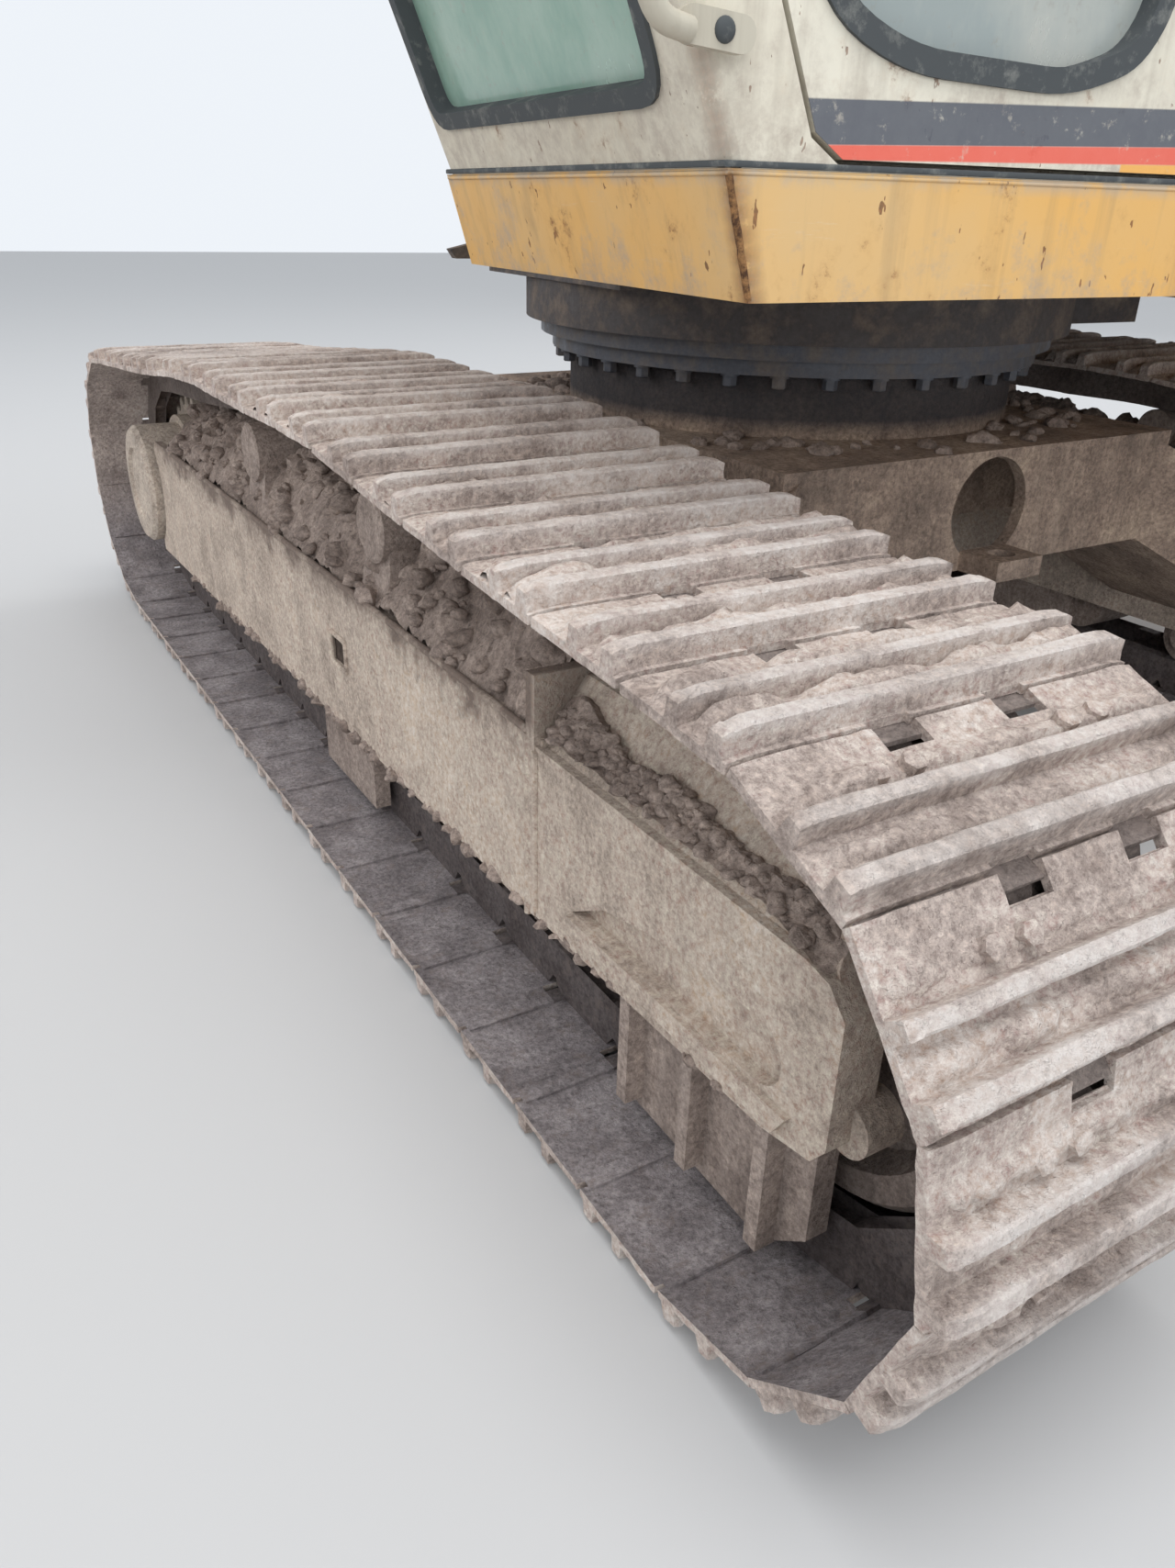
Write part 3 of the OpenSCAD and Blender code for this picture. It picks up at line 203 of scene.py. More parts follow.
def crusted(name, light, mid, dark, crest=None, inner=None, streaks=0.0, dark_above=None,
        bank_mark=None):
    """Steel under a crust of dry mud: pale where it wore, darker where the mud is thick; painted shade under
    the plate.
    """
    coat = Finish(name, rough=0.93, specular=0.25)
    broad = coat.noise(2.3, 4, 0.55)
    patch = coat.noise(11, 7, 0.68, shift=4.0)
    grain = coat.noise(95, 6, 0.8)
    fine = coat.noise(300, 3, 0.8)
    lumps = coat.noise(27, 5, 0.75, shift=7.0)
    cells = coat.node("TexVoronoi", "Distance", {"Scale": 85, "Vector": coat.place})
    pebbles = cells.span(0.0, 0.55, 1.0, 0.0) * lumps.span(0.42, 0.62)
    height = broad * 0.45 + patch * 0.55
    coat.tone = coat.ramp(height, ((0.34, dark), (0.50, mid), (0.64, light)))
    # painted shade: the plate's inner faces take a darker grey the nearer they are to the ground, where the
    # lower run lies under the frame
    if inner:
        low = coat.axis(2).span(0.45, 0.20, 0.15, 1.0)
        shade = coat.marked("inner") * low
        coat.over(shade, coat.mix(patch.span(0.40, 0.60), inner, (128, 122, 124)))
        # painted shade in the openings under the plate, as strong as each fitting's deep mark
        coat.over(coat.marked("deep"), (64, 54, 50))
    speckle = ((0.36, (104, 94, 88)), (0.50, (184, 181, 178)), (0.66, (240, 236, 230)))
    coat.over(0.55, coat.ramp(grain, speckle), "OVERLAY")
    crack = lumps.span(0.47, 0.36) * grain.span(0.60, 0.45)
    coat.over(crack * 0.5, dark)
    if streaks:
        drip = coat.noise(9, 5, 0.7, stretch=(2.6, 2.6, 0.16), shift=2.0)
        coat.over(drip.span(0.50, 0.70, 0.0, streaks), dark)
        drip = coat.noise(12, 4, 0.6, stretch=(2.2, 2.2, 0.2), shift=9.0)
        coat.over(drip.span(0.52, 0.74, 0.0, streaks * 0.8), light)
    if bank_mark:
        mark_z, mark_y = bank_mark
        height = coat.axis(2) + patch.span(0.30, 0.70, -0.07, 0.07)
        mark = height.span(mark_z, mark_z + 0.060) * coat.axis(1).span(mark_y, mark_y - 0.02)
        coat.over(mark * grain.span(0.25, 0.50, 0.55, 0.95), (122, 107, 98))
    if dark_above:
        coat.over(coat.axis(2).span(dark_above, dark_above + 0.03, 0.0, 0.85), (58, 60, 66))
    if crest:
        coat.over(coat.marked("crest") * patch.span(0.36, 0.60, 0.15, 0.60), crest)
    return coat.finish((patch, 0.55, 0.012), (lumps, 0.7, 0.009), (pebbles, 0.6, 0.004), (grain, 0.8, 0.006),
        (fine, 0.5, 0.002))

# the inner tone is the painted shade on the shoes' undersides low down
shoe_finish = crusted("shoe_dry_mud", (224, 213, 206), (198, 185, 178), (142, 128, 121),
    crest=(218, 212, 208), inner=(158, 152, 154))

half_base = 3.275 / 2
wheel_z = 0.435
shoe_r = 0.405
top_z = 0.940
carrier_at = 0.400
shoe_count = 45
shoe_w = 0.600
shoe_gap = 0.005
lug_h = 0.030
plate_t = 0.012
gauge = 2.300
notch_at, notch_half = 0.088, 0.031
link_at, link_half = 0.082, 0.018
lug_feet = ((0.06, 0.20), (0.44, 0.56), (0.80, 0.94))

def wheel_arc(x, first):
    """The shoes' line round an end wheel, from the first angle on, in degrees."""
    turns = [math.radians(first + 178 * i / 12) for i in range(13)]
    return [Vector((x + shoe_r * math.cos(a), wheel_z + shoe_r * math.sin(a))) for a in turns]

front_part, back_part = wheel_arc(half_base, -90), wheel_arc(-half_base, 92)
sag_spot = (front_part[-1] + Vector((carrier_at, top_z))) / 2 - Vector((0, 0.010))
loop = front_part + [sag_spot, Vector((carrier_at, top_z)), Vector((0, top_z - 0.007)),
    Vector((-carrier_at, top_z)), Vector((-sag_spot.x, sag_spot.y))] + back_part
steps = [(loop[(i + 1) % len(loop)] - loop[i]).length for i in range(len(loop))]
loop_length = sum(steps)
pitch = loop_length / shoe_count

def along_loop(distance):
    distance %= loop_length
    for i, step in enumerate(steps):
        if distance <= step:
            return loop[i].lerp(loop[(i + 1) % len(loop)], distance / step)
        distance -= step
    return loop[0]

shoe_edges = [along_loop(loop_length * i / shoe_count) for i in range(shoe_count)]

def alone(obj):
    bpy.ops.object.select_all(action="DESELECT")
    obj.select_set(True)
    bpy.context.view_layer.objects.active = obj

def edit(obj):
    alone(obj)
    bpy.ops.object.mode_set(mode="EDIT")

def leave():
    bpy.ops.object.mode_set(mode="OBJECT")

def pick(obj, test, kind="faces"):
    """In edit mode: select the faces, edges or points that pass the test, and nothing else."""
    bpy.ops.mesh.select_all(action="DESELECT")
    mesh = bmesh.from_edit_mesh(obj.data)
    for item in getattr(mesh, kind):
        item.select_set(bool(test(item)))
    mesh.select_flush(True)
    bmesh.update_edit_mesh(obj.data)

def named(name):
    obj = bpy.context.object
    obj.name = obj.data.name = name
    return obj

def block(name, low, high):
    """A box between two corners."""
    bpy.ops.mesh.primitive_cube_add(size=1, location=(0, 0, 0))
    middle = [(a + b) / 2 for a, b in zip(low, high)]
    size = Matrix.Diagonal([b - a for a, b in zip(low, high)] + [1])
    obj = named(name)
    obj.data.transform(move(*middle) @ size)
    return obj

def cylinder(name, sides, radius, depth, middle=(0, 0, 0), across=False):
    """A cylinder, upright or lying across the machine."""
    bpy.ops.mesh.primitive_cylinder_add(vertices=sides, radius=radius, depth=depth)
    obj = named(name)
    turn = spin(math.pi / 2, "X") if across else Matrix.Identity(4)
    obj.data.transform(move(*middle) @ turn)
    return obj

def edit_all(obj):
    edit(obj)
    bpy.ops.mesh.select_all(action="SELECT")

def lift(height):
    """Draws the picked faces out by the height."""
    bpy.ops.mesh.extrude_region_move(TRANSFORM_OT_translate={"value": (0, 0, height)})

def slice_at(spots, normal):
    for spot in spots:
        bpy.ops.mesh.select_all(action="SELECT")
        bpy.ops.mesh.bisect(plane_co=[spot * n for n in normal], plane_no=normal)

def soften(obj, width, segments, test):
    """Bevels the edges that pass the test."""
    edit(obj)
    pick(obj, test, "edges")
    bpy.ops.mesh.bevel(offset=width, segments=segments, affect="EDGES")
    leave()
    return obj

def step_faces(obj, test, *steps):
    """Insets the faces that pass the test by each thickness and depth in turn."""
    edit(obj)
    pick(obj, test)
    for thickness, depth in steps:
        bpy.ops.mesh.inset(thickness=thickness, depth=depth)
    leave()
    return obj

def long_edges(length):
    return lambda edge: edge.calc_length() > length

def facing(axis, sign=1):
    """A test for faces that look along the axis, or against it."""
    return lambda face: face.normal[axis] * sign > 0.9

faces_up, faces_down = facing(2), facing(2, -1)

def apply_all(obj):
    alone(obj)
    for modifier in list(obj.modifiers):
        bpy.ops.object.modifier_apply(modifier=modifier.name)

def divide(obj, levels):
    finer = obj.modifiers.new("finer", "SUBSURF")
    finer.subdivision_type = "SIMPLE"
    finer.levels = finer.render_levels = levels
    apply_all(obj)

def roughen(obj, *layers):
    """Lumps of each size and height, worked into the mesh."""
    for size, height in layers:
        texture = bpy.data.textures.new(obj.name + "_lumps", "CLOUDS")
        texture.noise_scale = size
        texture.noise_depth = 3
        lumps = obj.modifiers.new("lumps", "DISPLACE")
        lumps.texture = texture
        lumps.texture_coords = "LOCAL"
        lumps.strength = height
    apply_all(obj)
    return obj

def turn_outwards(obj):
    edit_all(obj)
    bpy.ops.mesh.normals_make_consistent(inside=False)
    leave()

def join(pieces, name):
    alone(pieces[0])
    for piece in pieces[1:]:
        piece.select_set(True)
    bpy.ops.object.join()
    return named(name)

def copied(obj, matrix):
    twin = added(obj.name, obj.data.copy())
    twin.data.transform(matrix)
    return twin

def drop(obj):
    bpy.data.objects.remove(obj, do_unlink=True)

def settle(obj, finish, body, place=on_upper, angle=35):
    """Gives a finished piece its place, its material, its shading and the body it moves with."""
    obj.data.transform(place)
    obj.data.materials.clear()
    obj.data.materials.append(finish)
    alone(obj)
    bpy.ops.object.shade_smooth_by_angle(angle=math.radians(angle))
    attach(obj, body)

def settle_on_tracks(obj, finish, angle=35):
    settle(obj, finish, "undercarriage", on_tracks, angle)

# one shoe: plate with its lugs drawn up, crests rounded, notches cut at its front and rear edges
shoe = block("shoe", (shoe_gap, -shoe_w / 2, -plate_t), (pitch - shoe_gap, shoe_w / 2, 0))
edit(shoe)
slice_at([f * pitch for pair in lug_feet for f in pair], (1, 0, 0))
slice_at([-0.285, -0.25, -0.21, -0.17, -0.13, -0.04, 0.0, 0.04, 0.13, 0.17, 0.21, 0.25, 0.285], (0, 1, 0))
for start, end in lug_feet:
    pick(shoe, lambda face: faces_up(face) and start * pitch < face.calc_center_median().x < end * pitch)
    lift(lug_h)
    bpy.ops.transform.resize(value=(0.80, 1, 1), center_override=((start + end) / 2 * pitch, 0, lug_h))
leave()

def runs_across(edge):
    return abs(edge.verts[0].co.x - edge.verts[1].co.x) < 0.001

soften(shoe, 0.003, 1, lambda edge: all(v.co.z > lug_h - 0.001 for v in edge.verts)
    and edge.calc_length() > 0.02 and runs_across(edge) and len(edge.link_faces) == 2
    and edge.calc_face_angle(0) > 0.5)
for spot in (-notch_at, notch_at):
    for start, end in ((0.81, 1.05), (-0.05, 0.055)):
        cutter = block("notch", (start * pitch, spot - notch_half, -0.05),
            (end * pitch, spot + notch_half, 0.021))
        cut = shoe.modifiers.new("notch", "BOOLEAN")
        cut.object = cutter
        cut.solver = "EXACT"
        apply_all(shoe)
        drop(cutter)
edit_all(shoe)
bpy.ops.mesh.vert_connect_concave()
leave()
divide(shoe, 1)
for vertex in shoe.data.vertices:
    worn = max(0.0, (abs(vertex.co.y) - 0.262) / 0.038)
    if worn:
        vertex.co.z -= (0.009 if vertex.co.z > 0.004 else 0.004) * worn ** 2

def mark(obj, name, value, kind="polygons"):
    """Writes a number on every face or point, for the finish to read."""
    marks = obj.data.attributes.new(name, "FLOAT", "FACE" if kind == "polygons" else "POINT")
    for item, row in zip(getattr(obj.data, kind), marks.data):
        row.value = value(item)

mark(shoe, "crest", lambda vert: max(0.0, min(1.0, (vert.co.z - 0.020) / 0.008)), "vertices")
# the plate's underside is marked for the painted shade low down
mark(shoe, "inner", lambda face: face.normal.z < -0.5)
# the plate itself takes none of the openings' painted shade
mark(shoe, "deep", lambda face: 0)

# bolt heads beside the links, a lip under the joint to the next shoe, two links and their pin
fittings = []
for across in (-0.165, -0.115, 0.115, 0.165):
    head = cylinder("head", 6, 0.014, 0.014, (0.68 * pitch, across, 0.007))
    fittings.append(step_faces(head, faces_up, (0.003, 0.002)))
lip = block("lip", (-0.016, -0.286, -0.0175), (0.014, 0.286, -0.0125))
edit(lip)
slice_at((-0.2, -0.123, -0.053, 0.053, 0.123, 0.2), (0, 1, 0))
leave()
fittings.append(lip)
for across in (-link_at, link_at):
    link = block("link", (-0.035, across - link_half, -0.112),
        (pitch + 0.035, across + link_half, -plate_t))
    edit(link)
    slice_at((0.012, 0.03, pitch - 0.048, pitch - 0.03), (1, 0, 0))
    pick(link, lambda vert: vert.co.z > -0.02 and not 0.01 < vert.co.x < pitch - 0.04, "verts")
    bpy.ops.transform.translate(value=(0, 0, -0.026))
    pick(link, lambda face: faces_down(face) and 0.03 < face.calc_center_median().x < pitch - 0.03)
    lift(0.018)
    leave()
    fittings.append(soften(link, 0.022, 3, lambda edge: edge.calc_length() > 0.03 and runs_across(edge)
        and not 0 < edge.verts[0].co.x < pitch))
pin = cylinder("pin", 14, 0.026, 0.190, (0, 0, -0.062), across=True)
fittings.append(step_faces(pin, lambda face: abs(face.normal.y) > 0.9, (0.007, -0.003)))
# each fitting's deep mark is how much painted shade darkens it where it shows in the openings under the
# plate: links, pin, and the lip under the notches
for piece in fittings:
    kind = piece.name.split(".")[0]
    shade = {"link": 0.70, "pin": 0.80}.get(kind, 0.0)
    mark(piece, "crest", lambda vert: 0, "vertices")
    mark(piece, "inner", lambda face: face.center.z < -0.009)
    mark(piece, "deep", lambda face: 0.60 if kind == "lip" and abs(abs(face.center.y) - notch_at) < 0.03
        else shade)
shoe = join([shoe] + fittings, "shoe")

# the mud in its pans: a skin that swells in and out of the steel
bpy.ops.mesh.primitive_grid_add(x_subdivisions=17, y_subdivisions=44, size=1)
pan_mud = named("pan_mud")
pan_mud.data.transform(move(pitch / 2, 0, 0.012) @ Matrix.Diagonal((0.98 * pitch, 0.985 * shoe_w, 1, 1)))
for vertex in pan_mud.data.vertices:
    along = vertex.co.x / pitch
    under_lug = max(0.0, 1 - min(abs(along - middle) for middle in (0.0, 0.13, 0.50, 0.87, 1.0)) / 0.13)
    vertex.co.z -= 0.040 * under_lug + 0.020 * max(0.0, (abs(vertex.co.y) - 0.272) / 0.023)

def is_bare(face):
    """No mud at the plate's edges, nor over the notches and the links' ends in them."""
    x, y = face.calc_center_median().xy
    return (x < 0.045 * pitch or x > 0.955 * pitch
        or (abs(abs(y) - notch_at) < 0.038 and not 0.10 < x / pitch < 0.79))

edit(pan_mud)
pick(pan_mud, is_bare)
bpy.ops.mesh.delete(type="FACE")
leave()
mark(pan_mud, "crest", lambda vert: 0, "vertices")

chance = random.Random(7)
for side, name in ((-1, "track_right"), (1, "track_left")):
    shoes, muds = [], []
    for i, start in enumerate(shoe_edges):
        run = (shoe_edges[(i + 1) % shoe_count] - start).normalized()
        turn = Matrix(((run.x, 0, run.y), (0, 1, 0), (run.y, 0, -run.x))).to_4x4()
        place = move(start.x, side * gauge / 2, start.y) @ turn
        shoes.append(copied(shoe, place @ spin(chance.uniform(-0.004, 0.004), "X")))
        on_top = start.y > 0.8
        level = chance.uniform(0.001, 0.010) if on_top else chance.uniform(-0.008, 0.001)
        skin = copied(pan_mud, Matrix.Identity(4))
        for vertex in skin.data.vertices:
            spot = vertex.co + Vector((0, 0, i * 0.71 + side * 5))
            lump = (0.015 * noise.noise(spot * 15) + 0.007 * noise.noise(spot * 48)
                + 0.004 * noise.noise(spot * 130))
            vertex.co.z = max(-0.008, vertex.co.z + level + lump)
        skin.data.transform(place)
        muds.append(skin)
    steel = join(shoes, name + "_shoes")
    turn_outwards(steel)
    roughen(steel, (0.09, 0.003), (0.018, 0.004))
    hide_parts(name)
    settle_on_tracks(steel, shoe_finish, 38)
    settle_on_tracks(join(muds, name + "_mud"), shoe_finish, 180)
drop(shoe)
drop(pan_mud)

# Side frames, rollers and guards: welded plate and castings, once painted, now all one coat of
# dried mud with drips below the ledges, darker on the rollers, guards and idlers, partly with painted
# shade. The middle is darker from a set height up, towards the bearing.
def clad(finish, *nodes):
    for node in nodes:
        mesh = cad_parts[node].data
        mesh.materials.clear()
        mesh.materials.append(finish)

frame_finish = crusted("frame_dry_mud", (222, 207, 193), (202, 188, 175), (164, 150, 139),
    streaks=0.18, bank_mark=(0.545, 1.21))
drive_finish = crusted("drive_dry_mud", (214, 202, 189), (192, 180, 168), (146, 134, 125), streaks=0.2)
# the rollers, guards and idlers take a darker crust than the frame, partly mud and partly painted shade for
# the track's shade round them; the carrier caps share it
guard_mud_and_shade = crusted("guard_mud", (188, 173, 164), (164, 150, 142), (122, 110, 104), streaks=0.35)
under_finish = crusted("carbody_mud", (188, 169, 151), (160, 142, 129), (112, 100, 92), streaks=0.4,
    dark_above=0.86)
clod_finish = crusted("clod_mud", (188, 172, 162), (158, 144, 136), (110, 97, 90))
dark_slot_finish = crusted("clogged_mud", (96, 84, 76), (78, 68, 62), (54, 46, 42))
clad(frame_finish, "track_frame_right", "track_frame_left")
clad(drive_finish, "final_drives")
clad(guard_mud_and_shade, "roller_guards", "track_rollers", "carrier_rollers", "idlers")
clad(under_finish, "carbody")

def link_mesh(name, data):
    """An object for mesh or curve data, in the scene and alone selected."""
    obj = added(name, data)
    alone(obj)
    return obj

def tube(name, points, radius, closed=False, sides=3):
    """A round bar through the points, turned into a mesh."""
    curve = bpy.data.curves.new(name, "CURVE")
    curve.dimensions = "3D"
    curve.bevel_depth = radius
    curve.bevel_resolution = sides
    curve.use_fill_caps = not closed
    line = curve.splines.new("POLY")
    line.points.add(len(points) - 1)
    for spot, point in zip(line.points, points):
        spot.co = (*point, 1)
    line.use_cyclic_u = closed
    link_mesh(name, curve)
    bpy.ops.object.convert(target="MESH")
    return bpy.context.object

def rounded(points, radius, closed=False, steps=5):
    """The line through the points with its corners rounded off."""
    points = [Vector(point) for point in points]
    count = len(points)
    out = [] if closed else [points[0]]
    for k in range(count if closed else count - 2):
        before, corner, after = (points[(k + j) % count] for j in range(3))
        reach = min(radius, (before - corner).length * 0.48, (after - corner).length * 0.48)
        start = corner + (before - corner).normalized() * reach
        end = corner + (after - corner).normalized() * reach
        out += [start.lerp(corner, t / steps).lerp(corner.lerp(end, t / steps), t / steps)
            for t in range(steps + 1)]
    return out if closed else out + [points[-1]]

# weld seams where the outer plate and the cover's end strip meet the frame
seams = []
for side in (-1, 1):
    for points, radius in (
            (((-1.30, 1.342, 0.603), (-0.4, 1.342, 0.6025), (0.4, 1.342, 0.603), (1.085, 1.342, 0.602)),
                0.007),
            (((1.112, 1.347, 0.30), (1.112, 1.347, 0.45), (1.112, 1.347, 0.58)), 0.006),
            (((1.084, 1.343, 0.28), (1.084, 1.343, 0.45), (1.084, 1.343, 0.60)), 0.008)):
        seams.append(tube("seam", [(x, side * y, z) for x, y, z in points], radius))
settle_on_tracks(join(seams, "frame_weld_seams"), frame_finish)

# a rim and a dark bottom in the tie-down slot of each outer plate
slot_x, slot_z = (0.170, 0.262), (0.406, 0.476)
rims, bottoms = [], []
for side in (-1, 1):
    corners = ((slot_x[0], slot_z[0]), (slot_x[1], slot_z[0]), (slot_x[1], slot_z[1]), (slot_x[0], slot_z[1]))
    rims.append(tube("rim", [(x, side * 1.3405, z) for x, z in rounded(corners, 0.012, closed=True)], 0.006,
        closed=True))
    bottom = block("bottom", (slot_x[0], side * 1.3305 - 0.0015, slot_z[0] + 0.002),
        (slot_x[1], side * 1.3305 + 0.0015, slot_z[1] - 0.002))
    edit_all(bottom)
    bpy.ops.mesh.subdivide(number_cuts=4)
    leave()
    bottoms.append(roughen(bottom, (0.02, 0.004)))
settle_on_tracks(join(rims, "tie_slot_rims"), frame_finish)
settle(join(bottoms, "tie_slot_mud"), dark_slot_finish, "undercarriage", on_tracks)

def taper(obj, test, scale, middle):
    """Draws the faces that pass the test in towards the middle."""
    edit(obj)
    pick(obj, test)
    bpy.ops.transform.resize(value=scale, center_override=middle)
    leave()
    return obj

# crusted caps over the carrier rollers' bearings, on feet that stand on the frame's top
caps = []
for side in (-1, 1):
    for x in (-carrier_at, carrier_at):
        foot = block("foot", (x - 0.078, 1.190, 0.590), (x + 0.078, 1.322, 0.720))
        taper(foot, faces_up, (0.72, 0.86, 1), (x, 1.19, 0.7))
        cap = cylinder("cap", 28, 0.070, 0.134, (x, 1.252, 0.750), across=True)
        step_faces(cap, facing(1), (0.008, 0.005), (0.014, -0.004))
        cap = join([cap, foot], "cap")
        divide(cap, 2)
        roughen(cap, (0.03, 0.006))
        cap.data.transform(Matrix.Diagonal((1, side, 1, 1)))
        caps.append(cap)
caps = join(caps, "carrier_caps")
turn_outwards(caps)
settle_on_tracks(caps, guard_mud_and_shade)

# Mud on the frames: a bank of crumbled, dried clay all along the sloping tops, under the chain,
# with loose clods on it, on the cover's slope, along the lower edges and on the middle plate.
def heap(name, x_span, y_span, rows, level, seed, rough=1.0):
    """A bank of mud: level(x, y) is its height, broken up by lumps of three sizes."""
    bpy.ops.mesh.primitive_grid_add(x_subdivisions=rows[0], y_subdivisions=rows[1], size=2)
    obj = named(name)
    for vertex in obj.data.vertices:
        x = x_span[0] + (x_span[1] - x_span[0]) * (vertex.co.x + 1) / 2
        y = y_span[0] + (y_span[1] - y_span[0]) * (vertex.co.y + 1) / 2
        spot = Vector((x, y, seed))
        lump = (0.030 * noise.noise(spot * 9) + 0.022 * abs(noise.noise(spot * 24))
            + 0.012 * noise.noise(spot * 60))
        vertex.co = (x, y, level(x, y) + rough * lump)
    return obj

def clods(name, spots, chance):
    """Lumps of dry clay at the spots (x, y, z, size), each its own shape and turn."""
    kinds = []
    for k in range(5):
        bpy.ops.mesh.primitive_ico_sphere_add(subdivisions=2, radius=1)
        kind = bpy.context.object
        for vertex in kind.data.vertices:
            vertex.co *= (1 + 0.45 * noise.noise(vertex.co * 1.1 + Vector((k * 7, 0, 0)))
                + 0.20 * noise.noise(vertex.co * 3.1 + Vector((0, k * 5, 0))))
        kinds.append(kind)
    lumps = []
    for x, y, z, size in spots:
        turn = (spin(chance.uniform(0, 6.3), "Z")
            @ spin(chance.uniform(-0.6, 0.6), "X"))
        shape = Matrix.Diagonal((size * chance.uniform(0.8, 1.5), size * chance.uniform(0.7, 1.1),
            size * chance.uniform(0.5, 0.85), 1))
        lumps.append(copied(chance.choice(kinds), move(x, y, z) @ turn @ shape))
    for kind in kinds:
        drop(kind)
    return join(lumps, name)

def frame_level(x, y):
    """The frame's top: flat in the middle, falling to both sides, with mud heaped on it."""
    across = abs(abs(y) - 1.155) / 0.185
    fall = 0.082 * max(0.0, across - 0.50) / 0.50
    end = min(1.0, (x + 1.34) / 0.12, (1.25 - x) / 0.16)
    heaped = 0.095 + 0.05 * noise.noise(Vector((x * 2.2, y, 8)))
    return (0.664 - fall + heaped * max(0.0, end) * (1.10 - across)
        + 0.026 * noise.noise(Vector((x * 5, y * 5, 4))))

def slope_level(x, y):
    """Mud on the cover's sloping face: thick along its foot, thinning out upwards and at both ends."""
    up = max(0.0, 1.331 - abs(y))
    end = min(1.0, (x - 1.10) / 0.05, (1.76 - x) / 0.12)
    limit = 0.016 + 0.030 * max(0.0, 1 - (x - 1.11) / 0.22) + 0.012 * noise.noise(Vector((x * 6, 0, 2)))
    return 0.588 + 1.43 * up + 0.026 * end - 2.0 * max(0.0, up - limit)

def lower_edge(x):
    """The lower edge of the outer plate and, ahead of it, of the cover."""
    return 0.235 + 0.0181 * (x + 1.5275) if x < 1.12 else 0.288 + 0.049 * (x - 1.11)

scatter = random.Random(11)
for side, name in ((-1, "right"), (1, "left")):
    bank = heap("bank", (-1.34, 1.082), (side * 0.985, side * 1.335), (260, 36), frame_level, side * 3.0)
    spots = []
    for k in range(520):
        x = scatter.uniform(-1.30, 1.07)
        y = scatter.uniform(1.06, 1.332)
        spots.append((x, side * y, frame_level(x, side * y) + 0.010,
            scatter.choice((0.008, 0.012, 0.016, 0.022, 0.030))))
    for k in range(300):
        x = scatter.uniform(1.125, 1.72)
        y = scatter.uniform(1.302, 1.338)
        spots.append((x, side * y, slope_level(x, y) + 0.002, scatter.choice((0.004, 0.006, 0.009, 0.013))))
    for k in range(260):
        x = scatter.uniform(-1.15, 1.68)
        size = scatter.choice((0.006, 0.009, 0.013, 0.019))
        spots.append((x, side * scatter.uniform(1.320, 1.338),
            lower_edge(x) + scatter.uniform(-0.3, 0.3) * size, size))
    rubble = clods("rubble", spots, scatter)
    ledge = heap("ledge", (1.112, 1.755), (side * 1.266, side * 1.345), (150, 20), slope_level,
        side * 9.0, 0.30)
    mound = join([bank, ledge, rubble], "frame_mud_" + name)
    turn_outwards(mound)
    settle_on_tracks(mound, clod_finish, 50)
spots = []
for k in range(150):
    turn = scatter.uniform(0, 2 * math.pi)
    reach = scatter.uniform(0.575, 0.74)
    x, y = reach * math.cos(turn), reach * math.sin(turn)
    if abs(x) < 0.73 and abs(y) < 0.59:
        spots.append((x, y, 0.853, scatter.choice((0.008, 0.012, 0.018, 0.026))))
crumbs = clods("carbody_mud_crumbs", spots, scatter)
settle_on_tracks(crumbs, clod_finish, 50)

# Swing bearing: two stacked steel rings, black with old grease, with a row of hexagon screws
# up through the lower ring's flange into the drum below.
def greasy(name, tone, dust, rough=0.42):
    coat = Finish(name, rough=rough, specular=0.5)
    patch = coat.noise(14, 7, 0.68)
    grain = coat.noise(90, 5, 0.7)
    coat.tone = coat.mix(patch.span(0.46, 0.66), tone, dust)
    coat.over(grain.span(0.35, 0.75, 0.0, 0.35), (30, 28, 27))
    return coat.finish((patch, 0.3, 0.006), (grain, 0.3, 0.002),
        roughness=patch.span(0.35, 0.65, rough - 0.12, rough + 0.35))

grease = greasy("bearing_grease", (88, 91, 99), (120, 112, 106))
clad(grease, "swing_bearing")
screw_count, screw_circle, screw_z = 34, 0.589, 0.970
screws = []
for k in range(screw_count):
    head = step_faces(cylinder("head", 6, 0.0165, 0.020), faces_down, (0.003, 0.0025))
    screw = join([head, cylinder("washer", 20, 0.021, 0.005, (0, 0, 0.0125))], "screw")
    turn = 2 * math.pi * k / screw_count
    screw.data.transform(move(screw_circle * math.cos(turn), screw_circle * math.sin(turn), screw_z)
        @ spin(turn * 3.7, "Z"))
    screws.append(screw)
settle(join(screws, "bearing_screws"), grease, "undercarriage")

